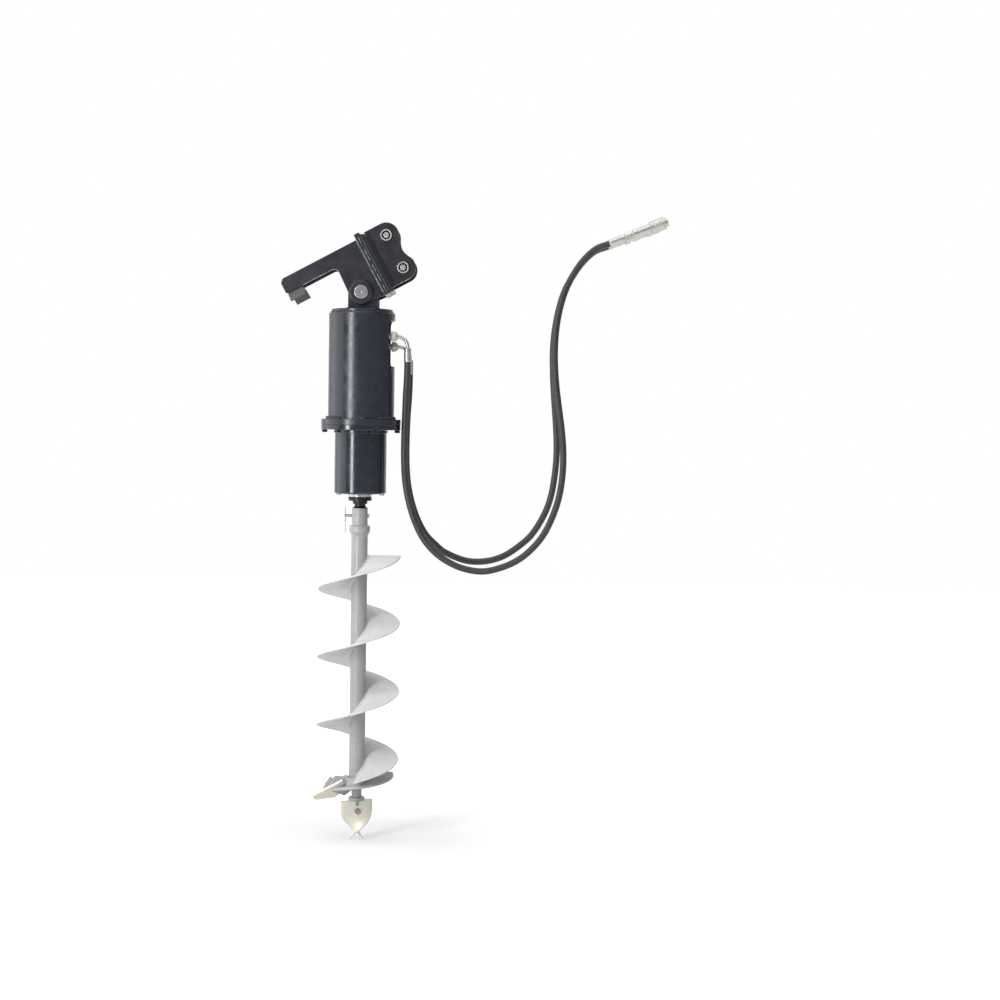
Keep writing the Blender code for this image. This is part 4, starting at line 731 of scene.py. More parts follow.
class AUGER_OT_couplers(Builder):
    """The quick couplers and the sliding sleeve"""

    bl_idname = "auger.couplers"
    bl_label = "Couplers"

    def build(self, scene):
        low, shoulder, top = 0.094, 0.112, 0.226
        tails = {
            "supply": [(0.0165, top), (0.010, top), (0.010, 0.196), (0, 0.196)],
            "return": [
                (0.0165, 0.150), (0.019, 0.150), (0.019, 0.196), (0.012, 0.196), (0.012, 0.210),
                (0.0100, 0.2115), (0.0100, 0.2150), (0.012, 0.2165), (0.012, top), (0, top),
            ],
        }
        for name, across in (("supply", -0.060), ("return", 0.060)):
            place = aimed(COUPLER_START + (0, across, 0), COUPLER_AHEAD)
            crimp = crimped(0.0140, 0.0001, 0.004, 0.053, 0.0098, 0.55)
            barrel = np.vstack([[[0, 0.0005], [0.0130, 0.0005]], crimp, [[0.0125, 0.057], [0.011, 0.057]]])
            cut = np.r_[0, np.full(len(barrel) + 1, 0.0002)]
            neck = turned(np.vstack([barrel, [[0.011, low], [0, low]]]), cut, 64)
            nut = hexagon(0.0320, 0.062, 0.086, 0.0022, 0.2)
            piece(f"{name}_hose_end_fine", placed(place, joined(neck, nut)), "zinc plate", "hitch", sharp=40)
            profile = [(0, low), (0.0175, low), (0.0175, shoulder), (0.0165, shoulder), *tails[name]]
            body = turned(profile, np.r_[0, np.full(len(profile) - 2, 0.0009), 0], 64)
            grooves = [ring(0.0168, 0.0160, at, at + 0.0016, 0.0005, 64) for at in (0.120, 0.126, 0.132)]
            part = placed(place, joined(body, *grooves))
            piece(f"{name}_coupler_fine", part, "zinc plate", "hitch", [f"{name}_coupler"], sharp=40)
            if name == "supply":
                part = placed(place, self.sleeve(scene.auger_hoses.sleeve_radius))
                piece("coupler_sleeve_fine", part, "zinc plate", "sleeve", ["coupler_sleeve"], sharp=40)

    @staticmethod
    def sleeve(outer):
        """The knurled sleeve: a ring whose radius falls in small diamonds between two plain bands, as the
        product of two slanted waves."""
        low, high, bore, lines = 0.160, 0.216, 0.0168, 24
        knurl_low, knurl_high, groove_at = 0.167, 0.205, 0.2085
        angles = round_turn(288)
        heights = np.linspace(low, high, 150)[:, None]
        edge = np.clip(np.minimum(heights - low, high - heights) / 0.0016, 0, 1)
        radius = outer - 0.0016 * (1 - np.sqrt(1 - (1 - edge) ** 2))
        band = np.clip(np.minimum(heights - knurl_low, knurl_high - heights) / 0.001, 0, 1)
        slant = (heights - low) / 0.0042 * math.pi
        knurl = np.abs(np.sin(lines * angles + slant)) * np.abs(np.sin(lines * angles - slant))
        radius = radius - band * 0.0004 * (1 - np.minimum(1, 1.6 * knurl))
        radius = radius - 0.0010 * np.clip(1 - np.abs(heights - groove_at) / 0.0012, 0, 1)
        skin = about_z(radius, angles, heights)
        ends = about_z(bore, angles, np.array([[low], [high]]))
        return grid(np.concatenate([ends[:1], skin, ends[1:], ends[:1]]), True)


class AUGER_OT_ears(Builder):
    """The ears that hold the hitch pins, and the two cross plates behind them"""

    bl_idname = "auger.ears"
    bl_label = "Ears and cross plates"

    def build(self, scene):
        size = scene.auger_hitch
        half, lobe, foot = size.pin_spacing / 2, size.lobe_radius, -0.0673
        hollow = (half**2 - lobe**2 + size.waist**2) / (2 * (lobe - size.waist))
        centre = size.waist + hollow
        lean = math.degrees(math.atan2(half, centre))
        outline = np.vstack([
            arc((0, -half), lobe, -90, lean, 28),
            arc((centre, 0), hollow, 180 + lean, 180 - lean, 24)[1:-1],
            arc((0, half), lobe, -lean, 90, 28),
            [(foot, half + lobe), (foot, -half - lobe)],
        ])
        low, high = -half - lobe + 0.004, half + lobe - 0.012
        for name, side in SIDES:
            near, far = side * (size.ear_half - size.ear_thickness), side * size.ear_half
            on_hitch(f"ear_{name}_fine", plate(outline, near, far, 0.0015), "frame paint", f"hitch_ear_{name}")
            beads = upright_welds(foot + 0.002, (near - side * 0.002, far + side * 0.002), low, high, 0.0055)
            on_hitch(f"ear_{name}_weld", joined(*beads), "slate weld")
        wide = size.cross_half
        for name, low, high, top, node_name in (
            ("base_plate", -0.0826, -0.0676, 0.106, "hitch_base_plate"),
            ("mount_plate", -0.1051, -0.0829, 0.1186, "frame_mount_plate"),
        ):
            part = block((low, -wide, -0.126), (high, wide, top), 0.0022)
            on_hitch(f"{name}_fine", part, "frame paint", node_name)
        seam = -0.0828
        beads = upright_welds(seam, (-wide - 0.0005, wide + 0.0005), -0.120, 0.104, 0.004)
        beads.append(weld([(seam + 0.0015, -0.095, 0.1065), (seam + 0.0015, 0.095, 0.1065)], 0.0045, UP_X))
        on_hitch("cross_plate_weld", joined(*beads), "slate weld")
        # Thin pale lines on the mount plate's edges and the ear's lower edge: painted highlights where the edges catch
        # the light.
        lines = [
            [(-0.1047, -0.0996, -0.118), (-0.1047, -0.0996, 0.110)],
            [(-0.0935, -0.0998, -0.118), (-0.0935, -0.0998, 0.104)],
            [(-0.040, -0.0748, -0.1118), (0.004, -0.0748, -0.1118)],
        ]
        on_hitch("cross_plate_edge_highlight", joined(*[tube(line, 0.0008, 12) for line in lines]), "worn edge")


class AUGER_OT_side_plates(Builder):
    """The side plates with their cradle arm, the pivot bosses and the saddle"""

    bl_idname = "auger.side_plates"
    bl_label = "Side plates and saddle"

    def build(self, scene):
        size = scene.auger_hitch
        x, z, edge = PIVOT_IN_HITCH[0], PIVOT_IN_HITCH[2], -0.1054
        outline = np.vstack([
            [(edge, -0.123)],
            arc((x, z), 0.044, -90, -180, 24),
            arc((-0.2345, 0.027), 0.020, 0, 90, 14),
            arc((-0.417, 0.050), 0.003, 270, 180, 4),
            [(-0.420, 0.089), (-0.407, 0.102)],
            [(edge, 0.102)],
        ])
        start = size.plate_half + 0.0003
        for name, side in SIDES:
            near, far = side * (size.plate_half - size.plate_thickness), side * size.plate_half
            part = plate(outline, near, far, 0.0013)
            on_hitch(f"side_plate_{name}_fine", part, "frame paint", f"frame_plate_{name}")
            face = aimed((x, side * start, z), (0, side, 0))
            boss = ring(size.boss_radius, size.pivot_radius + 0.0004, 0, 0.010, 0.0013)
            on_hitch(f"boss_{name}_fine", placed(face, boss), "frame paint", f"pivot_boss_{name}")
            fillet = placed(face, weld(circle_path(size.boss_radius + 0.001, 0.001), 0.0045, UP_Z))
            seams = upright_welds(edge - 0.001, (near, far), -0.117, 0.098, 0.0055)
            on_hitch(f"side_plate_{name}_weld", joined(fillet, *seams), "slate weld")
        # A thin pale line along the arm's lower edge: a painted highlight where the edge catches the light.
        under = np.vstack([[(-0.350, 0.0472)], arc((-0.2345, 0.027), 0.0202, 88, 4, 12)])
        line = np.column_stack([under[:, 0], np.full(len(under), -0.0648), under[:, 1]])
        on_hitch("arm_edge_highlight", tube(line, 0.0009, 12), "worn edge")
        on_hitch("saddle_fine", self.saddle(size), "saddle steel paint", "cradle_saddle")

    @staticmethod
    def saddle(size):
        """The folded saddle: an outline in Y and Z, flat in the middle and bent down at both wings, carried
        along X."""
        top, flat, wing, drop, thick = 0.0467, size.plate_half, size.saddle_half, 0.030, 0.007
        slope = math.atan2(drop, wing - flat)
        lower, bend = thick / math.cos(slope), thick * math.tan(slope / 2)
        corners = [
            (-wing, top - drop), (-flat, top), (flat, top), (wing, top - drop), (wing, top - drop - lower),
            (flat - bend, top - thick), (bend - flat, top - thick), (-wing, top - drop - lower),
        ]
        tip, outer, inner = 0.0026, 0.014, 0.010
        outline = rounded(corners, [tip, outer, outer, tip, tip, inner, inner, tip], 8)
        points, faces = plate(outline, -0.414, -0.357, 0.0006)
        return points[:, [1, 0, 2]], faces


class AUGER_OT_hitch_pins(Builder):
    """The hitch pins with their bolts, and the pivot pin with its keeper"""

    bl_idname = "auger.hitch_pins"
    bl_label = "Hitch pins and pivot pin"

    def build(self, scene):
        size = scene.auger_hitch
        half, radius = size.pin_spacing / 2, size.pin_radius
        face, back, rim, well = 0.0753, -0.0753, 0.0843, 0.0773
        for name, height in (("upper", half), ("lower", -half)):
            axis = aimed((0, 0, height), FRONT)
            pin = turned(
                [
                    (0, -0.075), (radius, -0.075), (radius, face), (0.021, face),
                    (0.021, rim), (0.016, rim), (0.016, well), (0, well),
                ],
                0.0012,
            )
            on_hitch(f"{name}_hitch_pin_fine", placed(axis, pin), "zinc plate", f"{name}_hitch_pin")
            # A dark lining over the well's wall and floor round the bolt head: painted shade for the hollow.
            recess = turned([(0.0158, 0.0835), (0.0158, 0.0775), (0.0060, 0.0775)], [0, 0.0015, 0], 64)
            on_hitch(f"{name}_pin_recess_shade", placed(axis, recess), "black oxide")
            bolt = joined(
                hexagon(0.0190, 0.0776, 0.0831, 0.0016, 0.4),
                ring(0.021, 0.006, -0.0793, back, 0.0006),
                hexagon(0.0190, -0.0893, -0.0793, 0.0014, 0.1),
                turned([(0, -0.0935), (0.0058, -0.0935), (0.0058, -0.078), (0, -0.078)], 0.0008, 32),
            )
            on_hitch(f"{name}_pin_bolt_fine", placed(axis, bolt), "zinc plate", f"{name}_pin_bolt")
        axis = aimed(PIVOT_IN_HITCH, FRONT)
        pin = turned(
            [(0, back), (0.025, back), (0.025, 0.0793), (0.0045, 0.0793), (0.0035, 0.0768), (0, 0.0760)],
            [0, 0.001, 0.0028, 0.0005, 0.0005, 0],
        )
        on_hitch("pivot_pin_fine", placed(axis, pin), "faced steel", "pivot_pin", slot="bright_steel")
        keeper = joined(
            turned([(0, -0.0836), (0.033, -0.0836), (0.033, -0.0756), (0, -0.0756)], 0.001),
            hexagon(0.0200, -0.0916, -0.0836, 0.0014),
        )
        on_hitch("pivot_keeper_fine", placed(axis, keeper), "zinc plate", "pivot_pin_keeper")


class AUGER_OT_housing(Builder):
    """The motor housing with its window, the top cap, the lugs and the pivot tube"""

    bl_idname = "auger.housing"
    bl_label = "Motor housing"

    def build(self, scene):
        size = scene.auger_drive
        on_drive("housing_fine", self.shell(size), "slate paint", "motor_housing", sharp=40)
        cap = turned([(0, -0.060), (0.112, -0.060), (0.112, -0.072), (0, -0.072)], [0, 0.003, 0.001, 0], 160)
        on_drive("top_cap_fine", cap, "slate paint", "top_cap")
        left, right, foot, seam = -0.049, 0.060, -0.0597, -0.0585
        outline = np.vstack([arc((0, 0), 0.049, 30, 180, 40), [(left, foot), (right, foot), (right, -0.006)]])
        for name, side in SIDES:
            near, far = side * 0.035, side * 0.051
            on_drive(f"lug_{name}_fine", plate(outline, near, far, 0.0013), "slate paint", f"lug_{name}")
            beads = [
                weld([(left, y, seam), (right, y, seam)], 0.005)
                for y in (near - side * 0.0015, far + side * 0.0015)
            ]
            beads += [weld([(x, near, seam), (x, far, seam)], 0.005, UP_X) for x in (left - 0.0015, right + 0.0015)]
            on_drive(f"lug_{name}_weld", joined(*beads), "slate weld")
        sleeve = placed(aimed((0, 0, 0), FRONT), ring(0.035, 0.0254, -0.051, 0.051, 0.0008))
        on_drive("pivot_tube_fine", sleeve, "faced steel", "pivot_tube")
        seams = [weld(circle_path(0.1125, -0.0722), 0.0035, UP_Z)]
        for start, turn in np.radians(((-182, 60), (-101, 25), (-57, 55), (20, 38), (80, 38), (132, 34))):
            path = circle_path(size.housing_radius + 0.001, -0.4585, start, turn)
            seams.append(weld(path, 0.0075, UP_Z, 0.006))
        on_drive("housing_weld", joined(*seams), "slate weld")

    @staticmethod
    def shell(size):
        """The housing: a tube with a closed top and a flange, both walls laid out flat as angle and height.
        Round the window each wall is a blend from the window's edge to the border of its own rectangle, so it
        meets the turned top and flange point for point, and the window's rim joins the two walls."""
        radius, wall, flange = size.housing_radius, size.housing_wall, size.flange_radius
        shoulder, lid, collar_top, foot = -0.0763, -0.0823, -0.461, -0.4827
        bore, corner, counts = radius - wall, size.window_corner, (120, 60, 120, 60)
        side, high, low = size.window_width / 2 - corner, -0.102 - corner, -0.267 + corner
        corners = ((side, high, 45), (side, low, -45), (-side, low, -135), (-side, high, -225))
        runs = []
        for (y0, z0, _), (y1, z1, turn), count in zip((corners[-1], *corners), corners, counts):
            start = arc((y0, z0), corner, turn + 90, turn + 45, 8)
            line = np.vstack([start, arc((y1, z1), corner, turn + 45, turn, 8)])
            runs.append(resampled(line, np.linspace(0, distances(line)[-1], count, endpoint=False)))
        window = np.vstack(runs)

        def wall_of(reach, edge, high, low, rows):
            """One wall, from the window's edge to the border of its rectangle in the same four runs."""
            border = np.array([(-math.pi, high), (math.pi, high), (math.pi, low), (-math.pi, low), (-math.pi, high)])
            end = np.vstack([
                np.linspace(a, b, count, endpoint=False) for a, b, count in zip(border, border[1:], counts)
            ])
            start = np.stack([np.arcsin(edge[:, 0] / reach), edge[:, 1]], -1)
            share = (np.linspace(0, 1, rows) ** 1.25)[:, None, None]
            flat = start * (1 - share) + end * share
            return grid(about_z(reach, flat[..., 0], flat[..., 1]), True)

        soft = 0.0015
        lean = np.linspace(0, math.pi / 2, 5)
        pulls = np.r_[soft * (1 - np.sin(lean)), 0, 0]
        depths = np.r_[radius - soft * (1 - np.cos(lean)), radius - wall / 2, bore]
        rim = []
        for pull, depth in zip(pulls, depths):
            line = inset(window, -pull)
            rim.append(np.column_stack([np.sqrt(depth**2 - line[:, 0] ** 2), line[:, 0], line[:, 1]]))
        angles = np.linspace(-math.pi, math.pi, counts[0], endpoint=False)
        crown = [(0, -0.0723), (radius - 0.004, -0.0723), (radius, shoulder)]
        collar = [(radius, collar_top), (flange, collar_top), (flange, foot), (bore, foot)]
        return joined(
            wall_of(radius, inset(window, -soft), shoulder, collar_top, 64),
            wall_of(bore, window, lid, foot, 40),
            grid(np.stack(rim), True),
            revolved(rounded(crown, [0, 0.0025, 0], closed=False), angles=angles),
            revolved(rounded(collar, [0, 0.0015, 0.0015, 0], closed=False), angles=angles),
            revolved([(bore, lid), (0, lid)], angles=angles),
        )


class AUGER_OT_gearbox(Builder):
    """The gearbox case, the flange bolts and the cover of the shaft seal"""

    bl_idname = "auger.gearbox"
    bl_label = "Gearbox"

    def build(self, scene):
        size = scene.auger_drive
        r, flange, top, joint, neck, foot = size.case_radius, size.flange_radius, -0.483, -0.4998, -0.5118, -0.734
        case = turned(
            [(0, top), (flange, top), (flange, joint), (0.099, joint), (0.099, neck), (r, neck), (r, foot), (0, foot)],
            [0, 0.0012, 0.0015, 0.003, 0.001, 0.001, 0.006, 0],
            160,
        )
        on_drive("gearbox_case_fine", case, "case paint", "gearbox_case", sharp=40)
        first = -math.pi / 2 - math.radians(33.6)
        for number in range(size.bolt_count):
            angle = first + TAU * number / size.bolt_count
            shift = self.out_from_axis(size.bolt_circle, angle)
            head = hexagon(0.0174, -0.5101, -0.5008, 0.0014, angle + 0.25)
            washer = ring(0.0100, 0.006, -0.5011, -0.5001, 0.0003, 48)
            bolt = f"flange_bolt_{number + 1}"
            on_drive(f"{bolt}_fine", placed(shift, joined(head, washer)), "black oxide", bolt)
        screws = [
            placed(self.out_from_axis(0.080, angle), hexagon(0.0160, -0.7405, -0.7335, 0.0012, angle))
            for angle in np.radians((-93.0, -3.0, 87.0, 177.0))
        ]
        on_drive("case_screws", joined(*screws), "zinc plate")
        bore, low = 0.0276, -0.7455
        cover = [(bore, -0.7343), (0.0445, -0.7343), (0.0445, -0.7400), (0.0432, -0.7408), (0.0432, low), (bore, low)]
        on_drive("seal_cover_fine", turned(cover, 0.0007), "turned steel", "shaft_seal_cover")

    @staticmethod
    def out_from_axis(reach, angle):
        """A shift away from the drive's axis: the reach times the cosine and sine of the angle."""
        return Matrix.Translation((reach * math.cos(angle), reach * math.sin(angle), 0))


class AUGER_OT_fittings(Builder):
    """Port adapters, swivel nuts and bent hose ends with crimped ferrules"""

    bl_idname = "auger.fittings"
    bl_label = "Hose fittings"

    def build(self, scene):
        ferrule_radius = scene.auger_hoses.ferrule_radius
        bend, bore = 0.038, 0.0066
        quarter = np.linspace(math.pi / 2, 0, 30)
        for name, drop, across, reach, top in (
            ("upper", 0.1575, -0.020, 0.1686, 0.1995),
            ("lower", 0.1940, 0.020, 0.1755, 0.2430),
        ):
            axis = aimed((0, across, -drop), (1, 0, 0))
            adapter = joined(
                hexagon(0.0346, 0.0623, 0.0783, 0.0018),
                turned([(0, 0.070), (0.011, 0.070), (0.011, 0.108), (0, 0.108)], 0.001, 64),
            )
            on_drive(f"{name}_adapter_fine", placed(axis, adapter), "zinc plate", f"{name}_port_adapter")
            nut = joined(
                hexagon(0.0350, 0.1083, 0.1263, 0.0020, math.pi / 6, bore),
                ring(0.0135, bore, 0.1250, 0.1323, 0.0022, 64),
            )
            on_drive(f"{name}_swivel_nut_fine", placed(axis, nut), "zinc plate", f"{name}_swivel_nut")
            curve = np.column_stack([
                reach - bend + bend * np.cos(quarter), np.full(30, across), -drop - bend + bend * np.sin(quarter)
            ])
            line = np.vstack([[(0.112, across, -drop)], curve, [(reach, across, -top - 0.002)]])
            crimp = crimped(ferrule_radius, 0.00008, 0.001, 0.046, 0.0095, 0.5) * (1, -1)
            collar = [[0, 0.004], [0.0075, 0.004], [0.0085, 0.0], [0.0122, -0.0004]]
            shape = turned(np.vstack([collar, crimp, [[0.0122, -0.050], [0, -0.050]]]), 0.0002, 64)
            ferrule = placed(Matrix.Translation((reach, across, -top)), shape)
            part = joined(tube(line, 0.0065, 32), ferrule)
            on_drive(f"{name}_hose_elbow_fine", part, "zinc plate", f"{name}_hose_elbow", sharp=40)


class AUGER_OT_shaft(Builder):
    """The output shaft, its slinger, the cross pin and the clip through it"""

    bl_idname = "auger.shaft"
    bl_label = "Output shaft"

    def build(self, scene):
        r, neck, foot, pin_height = 0.027, 0.0205, -0.868, -0.816
        shaft = turned(
            [
                (0, -0.600), (r, -0.600), (r, -0.772), (neck, -0.772), (neck, -0.7802),
                (0.028, -0.7867), (neck, -0.7867), (neck, foot), (0, foot),
            ],
            [0, 0.001, 0.003, 0.002, 0.002, 0.0008, 0, 0.001, 0],
        )
        on_output("output_shaft_fine", shaft, "black oxide", "output_shaft")
        slinger = [(r, -0.7463), (0.0428, -0.7463), (0.0428, -0.76), (0.0330, -0.76), (0.0320, -0.758), (r, -0.758)]
        on_output("shaft_slinger_fine", turned(slinger, 0.0012), "black oxide", "shaft_slinger")
        pin = turned(
            [(0, 0.035), (0.0065, 0.035), (0.0065, 0.0305), (0.005, 0.0305), (0.005, -0.058), (0, -0.058)],
            [0, 0.0015, 0.0006, 0.0004, 0.0015, 0],
            48,
        )
        pin = placed(aimed((0, 0, pin_height), (1, 0, 0)), pin)
        on_output("bit_cross_pin_fine", pin, "zinc plate", "bit_cross_pin")
        route = np.column_stack([np.full(len(CLIP_ROUTE), -0.0535), CLIP_ROUTE + (0, pin_height)])
        wire = tube(smooth_route(route, 0.0012)[0], 0.0015, 16, UP_X)
        on_output("hairpin_clip_fine", wire, "zinc plate", "hairpin_clip")


class AUGER_OT_auger(Builder):
    """The auger tube with its hub, and the flighting welded round it"""

    bl_idname = "auger.auger"
    bl_label = "Auger tube and flighting"

    def build(self, scene):
        size = scene.auger_bit
        r, top, foot, hub = size.tube_radius, -0.787, -1.817, 0.038
        part = turned(
            [(0, top), (0.029, top), (0.029, -0.850), (hub, -0.853), (hub, -0.873), (r, -0.890), (r, foot), (0, foot)],
            [0, 0.0015, 0.001, 0.0015, 0.003, 0.004, 0.001, 0],
        )
        on_output("auger_tube_fine", part, "tube paint", "auger_tube")
        start, end, turns, thick = 0.960, 1.775, size.turns, size.flight_thickness
        pitch = (end - start) / turns
        flight = helix_plate(r - 0.002, size.flight_radius, start, pitch, turns, thick)
        on_output("flighting_fine", flight, "pale paint", "flighting", sharp=50)
        seams = [
            weld(helix_path(r + 0.001, at, pitch, turns), bead, UP_Z, 0.006)
            for at, bead in ((start - 0.0005, 0.0036), (start + thick + 0.0005, 0.0034))
        ]
        on_output("flighting_weld", joined(*seams), "pale weld")


class AUGER_OT_cutter_head(Builder):
    """The cutter head, its blade, and the pilot with its twisted point"""

    bl_idname = "auger.cutter_head"
    bl_label = "Cutter head and pilot"

    def build(self, scene):
        size = scene.auger_bit
        wing_turns, edge = 0.46, 0.0008
        outer = np.linspace(0.140, 0.100, int(HELIX_STEPS * wing_turns) + 1)
        wing = helix_plate(0.036, outer, 1.768, 0.100, wing_turns, 0.012, math.radians(20))
        collar = ring(0.042, size.tube_radius, -1.815, -1.7814, 0.0015)
        slope, steepness = math.radians(28), math.radians(50)
        lean = Matrix.Rotation(math.pi, 4, "Z") @ Matrix.Rotation(slope, 4, "Y")
        lean = Matrix.Translation((-0.043, 0, -1.804)) @ lean
        place = lean @ Matrix.Rotation(steepness, 4, "X")
        flat = place @ Matrix.Rotation(math.radians(-90), 4, "X")
        holder = [(-0.020, 0.0003), (0.082, 0.0003), (0.082, 0.0073), (0.074, 0.0153), (-0.020, 0.0153)]
        holder = placed(place, plate(rounded(holder, 0.0020), -0.022, 0.022, edge))
        on_output("cutter_head_fine", joined(collar, wing, holder), "cutter paint", "cutter_head")
        clamp = [(-0.020, 0.018), (0.048, 0.014), (0.054, 0.007), (0.026, -0.044), (-0.012, -0.034)]
        lugs = [
            (-0.018, 0.001), (0.078, 0.001), (0.076, 0.016), (0.067, 0.032), (0.055, 0.038),
            (0.039, 0.046), (0.034, 0.035), (0.019, 0.039), (-0.010, 0.020), (-0.018, 0.011),
        ]
        grips = joined(
            placed(flat, plate(rounded(clamp, 0.003), 0.0108, 0.0165, edge)),
            placed(lean, plate(rounded(lugs, 0.0020), -0.006, 0.014, 0.0006)),
        )
        on_output("cutter_grips", grips, "tube paint")
        blade = [(0.060, -0.034), (0.124, 0.000), (0.130, 0.025), (0, 0.025), (0, -0.026)]
        blade = placed(flat, plate(rounded(blade, 0.0025), 0, 0.011, edge))
        on_output("cutting_blade_fine", blade, "hard facing", "cutting_blade")
        top, neck, foot = -1.8173, -1.856, -1.868
        shank = turned([(0, top), (0.0185, top), (0.0185, neck), (0.030, neck), (0.030, foot), (0, foot)], 0.001)
        tang = block((-0.0065, -0.0090, -1.889), (0.0065, 0.0090, -1.866), edge)
        tang = placed(Matrix.Rotation(PILOT_TURN, 4, "Z"), tang)
        on_output("pilot_shank_fine", joined(shank, tang), "tube paint", "pilot_shank")
        on_output("pilot_point_fine", self.point(size.point_width), "hard facing", "pilot_point", sharp=45)
        ahead = (math.sin(PILOT_TURN), -math.cos(PILOT_TURN), 0)
        bolt = joined(hexagon(0.0210, 0.0065, 0.0150, 0.0014), hexagon(0.0210, -0.0150, -0.0065, 0.0014, 0.3))
        on_output("pilot_bolt_fine", placed(aimed((0, 0, -1.908), ahead), bolt), "rusted steel", "pilot_bolt")

    @staticmethod
    def point(width):
        """The fishtail point: a flat oval section, narrowing and turning as a power of the share of the way
        down, and two prongs at the foot that spread and thin out."""
        top, foot, tip = 1.8683, 1.986, 0.024
        share = np.linspace(0, 1, 60)[:, None]
        power = share**2.5
        half = (width - (width - tip) * power) / 2
        turn = PILOT_TURN - math.radians(90) * power
        angle = round_turn(64)
        x = half * np.sign(np.cos(angle)) * np.abs(np.cos(angle)) ** 0.55
        y = 0.008 * np.sign(np.sin(angle)) * np.abs(np.sin(angle)) ** 0.8
        height = -(top + (foot - top) * share) + 0 * x
        cos, sin = np.cos(turn), np.sin(turn)
        body = np.stack([x * cos - y * sin, x * sin + y * cos, height], -1)
        ends = np.repeat(body[[0, -1]].mean(1, keepdims=True), len(angle), 1)
        parts = [grid(np.concatenate([ends[:1], body, ends[1:]]), True)]
        way = np.linspace(0, 1, 20)
        for side in (-1, 1):
            path = np.stack([side * 0.026 * way**1.3, 0 * way, -(1.974 + 0.039 * way)], -1)
            parts.append(tube(path, 0.006 - 0.0038 * way**2, 20))
        return joined(*parts)


class AUGER_OT_inner_works(Builder):
    """Finishes for the gears, bearings and motor inside, which stay as they were packed"""

    bl_idname = "auger.inner_works"
    bl_label = "Gears and motor"

    def build(self, scene):
        steel = ["ring_gear", "upper_bearing", "lower_bearing", "planet_carrier", "sun_gear", "motor_mount_plate"]
        steel += [f"planet_gear_{number}" for number in (1, 2, 3)]
        for finish, names in (("turned steel", steel), ("black oxide", ["motor_body"])):
            for name in names:
                mesh = frame["nodes"][name].data
                mesh.materials.clear()
                mesh.materials.append(bpy.data.materials[finish])


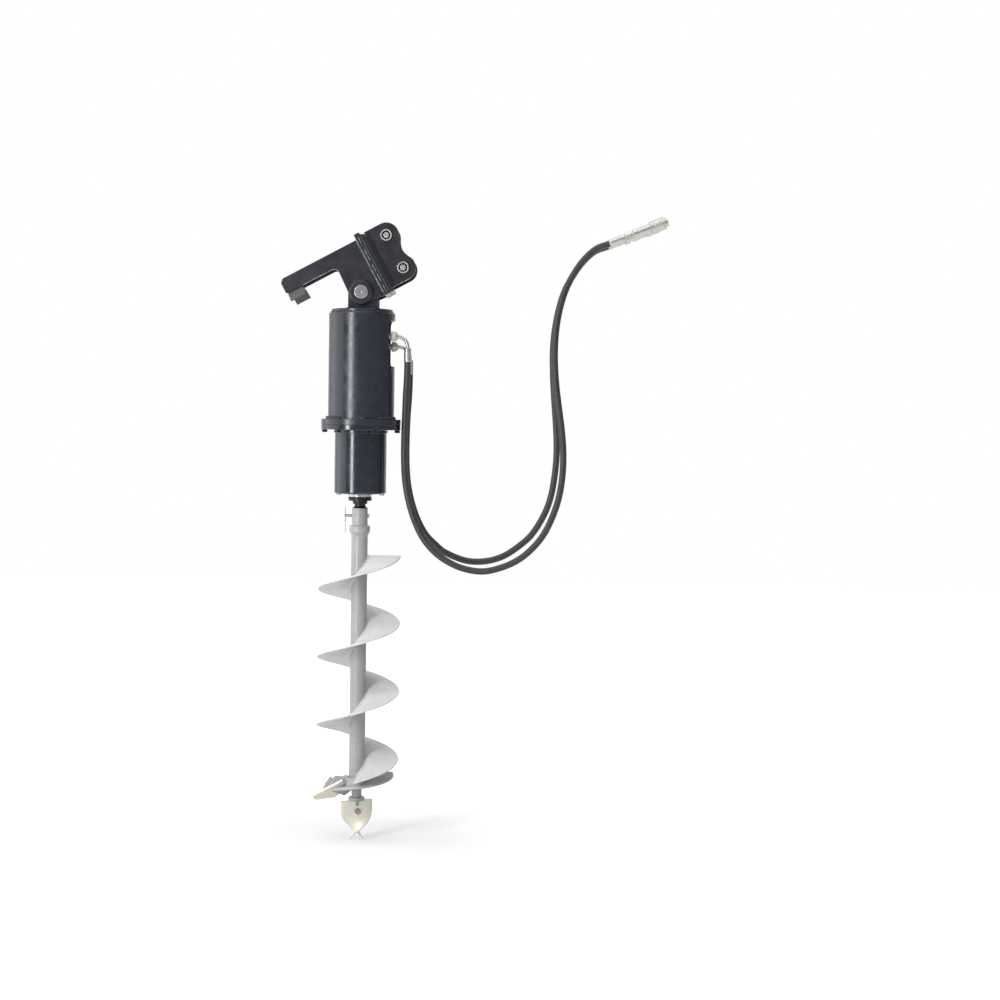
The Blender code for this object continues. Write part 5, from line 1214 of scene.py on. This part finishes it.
class AUGER_OT_stage(Builder):
    """Floor, backdrop, lamps, even light and camera"""

    bl_idname = "auger.stage"
    bl_label = "Stage"

    def build(self, scene):
        size = scene.auger_stage
        camera = bpy.data.objects.new("camera", bpy.data.cameras.new("camera"))
        scene.collection.objects.link(camera)
        camera.data.lens, camera.data.sensor_width = 72.0, 36.0
        camera.data.clip_end = 100.0
        pitch, roll, middle = math.radians(87.71), math.radians(0.85), (-0.12, 0, -0.7)
        turn = Matrix.Rotation(pitch, 4, "X") @ Matrix.Rotation(roll, 4, "Z")
        camera.matrix_world = Matrix.Translation((0.3944, -size.camera_distance, -0.6044)) @ turn
        scene.camera = camera
        self.lamp("strip", (-2.76, -3.84, -0.2), middle, (0.8, 3.6), size.strip_power)
        self.lamp("side", (-4.5, 0.1, 0.4), middle, (5.0, 3.6), size.side_power)
        self.lamp("top", (0.0, -0.8, 3.2), (0.0, 0, -0.8), (6.4, 5.0), size.top_power)
        self.sky(scene, size.sky)
        self.floor(scene.auger_finishes.floor)
        scene.view_settings.view_transform = "Standard"

    @staticmethod
    def lamp(name, place, target, extent, power):
        """An area lamp that looks at a point, with its height upright."""
        light = bpy.data.lights.new(name, "AREA")
        light.shape, light.size, light.size_y, light.energy = "RECTANGLE", extent[0], extent[1], power
        made = bpy.data.objects.new(name, light)
        ahead = Vector(target) - Vector(place)
        made.matrix_world = Matrix.Translation(place) @ ahead.to_track_quat("-Z", "Y").to_matrix().to_4x4()
        bpy.context.scene.collection.objects.link(made)

    @staticmethod
    def sky(scene, strength):
        """Even light all round. The camera sees it white, and so do gloss and glass towards the back and the
        left, with a dimmer room in front."""
        world = bpy.data.worlds.new("sky")
        world.use_nodes = True
        scene.world = world
        world.node_tree.nodes.clear()
        made = Nodes(world.node_tree)
        even = made.node("Background", {"Color": (0.95, 0.97, 1.0, 1), "Strength": strength})
        ways = made.node("TexCoord").outputs["Generated"]
        towards = made.node("VectorMath", {0: ways, 1: (-0.45, 0.89, 0.0)}, operation="DOT_PRODUCT")
        room = made.ranged(towards.outputs["Value"], 0.0, 0.7, 0.42, 1.0)
        power = made.larger(made.node("LightPath").outputs["Is Camera Ray"], room)
        white = made.node("Background", {"Color": (1, 1, 1, 1), "Strength": power})
        mix = made.node("MixShader", {0: made.seen_as_white(), 1: even.outputs[0], 2: white.outputs[0]})
        made.node("OutputWorld", {0: mix.outputs[0]})

    @staticmethod
    def floor(colour):
        """A wide floor just under the auger, with a very soft grain. What looks at it sees a glow added to the
        lit paint, as strong as the distance from the drive's axis asks, so that it stays white round the
        object's shadow."""
        reach, height = 12, cad_box[0][2]
        coat = Coat("floor", colour, gloss=0.1)
        coat.shader.inputs["Roughness"].default_value = 0.9
        coat.lay(coat.mixed(coat.noise(1.5), 0.98, 1.02))
        far = coat.node("VectorMath", {0: coat.where, 1: (PIVOT[0], 0, height)}, operation="DISTANCE")
        share = coat.ranged(far.outputs["Value"], 0.35, 2.2, 0.29, 1.0)
        glow = coat.node("Math", {0: coat.seen_as_white(), 1: share}, operation="MULTIPLY")
        light = coat.node("Emission", {"Color": (1, 1, 1, 1), "Strength": glow.outputs[0]})
        both = coat.node("AddShader", {0: coat.shader.outputs[0], 1: light.outputs[0]})
        coat.tree.links.new(both.outputs[0], coat.tree.nodes["Material Output"].inputs["Surface"])
        low, high = (-reach, reach), height - 0.0004
        points = np.array([[(x, y, high) for x in low] for y in low], float)
        piece("floor", grid(points), "floor")


class AUGER_PT_panel(bpy.types.Panel):
    """The list of the auger drive's pieces"""

    bl_idname = "AUGER_PT_panel"
    bl_label = "Auger drive"
    bl_space_type = "VIEW_3D"
    bl_region_type = "UI"
    bl_category = "Auger drive"

    def draw(self, context):
        for builder in BUILDERS:
            self.layout.operator(builder.bl_idname)
        for group in GROUPS:
            box = self.layout.box()
            holder = getattr(context.scene, group)
            box.label(text=holder.rna_type.name)
            for prop in holder.bl_rna.properties:
                if prop.identifier not in {"name", "rna_type"}:
                    box.prop(holder, prop.identifier)


BUILDERS = (
    AUGER_OT_stage,
    AUGER_OT_couplers,
    AUGER_OT_hoses,
    AUGER_OT_ears,
    AUGER_OT_side_plates,
    AUGER_OT_hitch_pins,
    AUGER_OT_housing,
    AUGER_OT_gearbox,
    AUGER_OT_fittings,
    AUGER_OT_shaft,
    AUGER_OT_auger,
    AUGER_OT_cutter_head,
    AUGER_OT_inner_works,
)
GROUPS = {
    "auger_hitch": HitchSizes,
    "auger_drive": DriveSizes,
    "auger_bit": AugerSizes,
    "auger_hoses": HoseSizes,
    "auger_finishes": Finishes,
    "auger_stage": StageSizes,
}


def register():
    for group, kind in GROUPS.items():
        bpy.utils.register_class(kind)
        setattr(bpy.types.Scene, group, PointerProperty(type=kind))
    for kind in (*BUILDERS, AUGER_PT_panel):
        bpy.utils.register_class(kind)


def unregister():
    for kind in (*BUILDERS, AUGER_PT_panel):
        bpy.utils.unregister_class(kind)
    for group, kind in GROUPS.items():
        delattr(bpy.types.Scene, group)
        bpy.utils.unregister_class(kind)


def main():
    register()
    for builder in BUILDERS:
        area, name = builder.bl_idname.split(".")
        if getattr(getattr(bpy.ops, area), name)() != {"FINISHED"}:
            raise RuntimeError(f"{builder.bl_label} was not built")


if __name__ == "__main__":
    main()
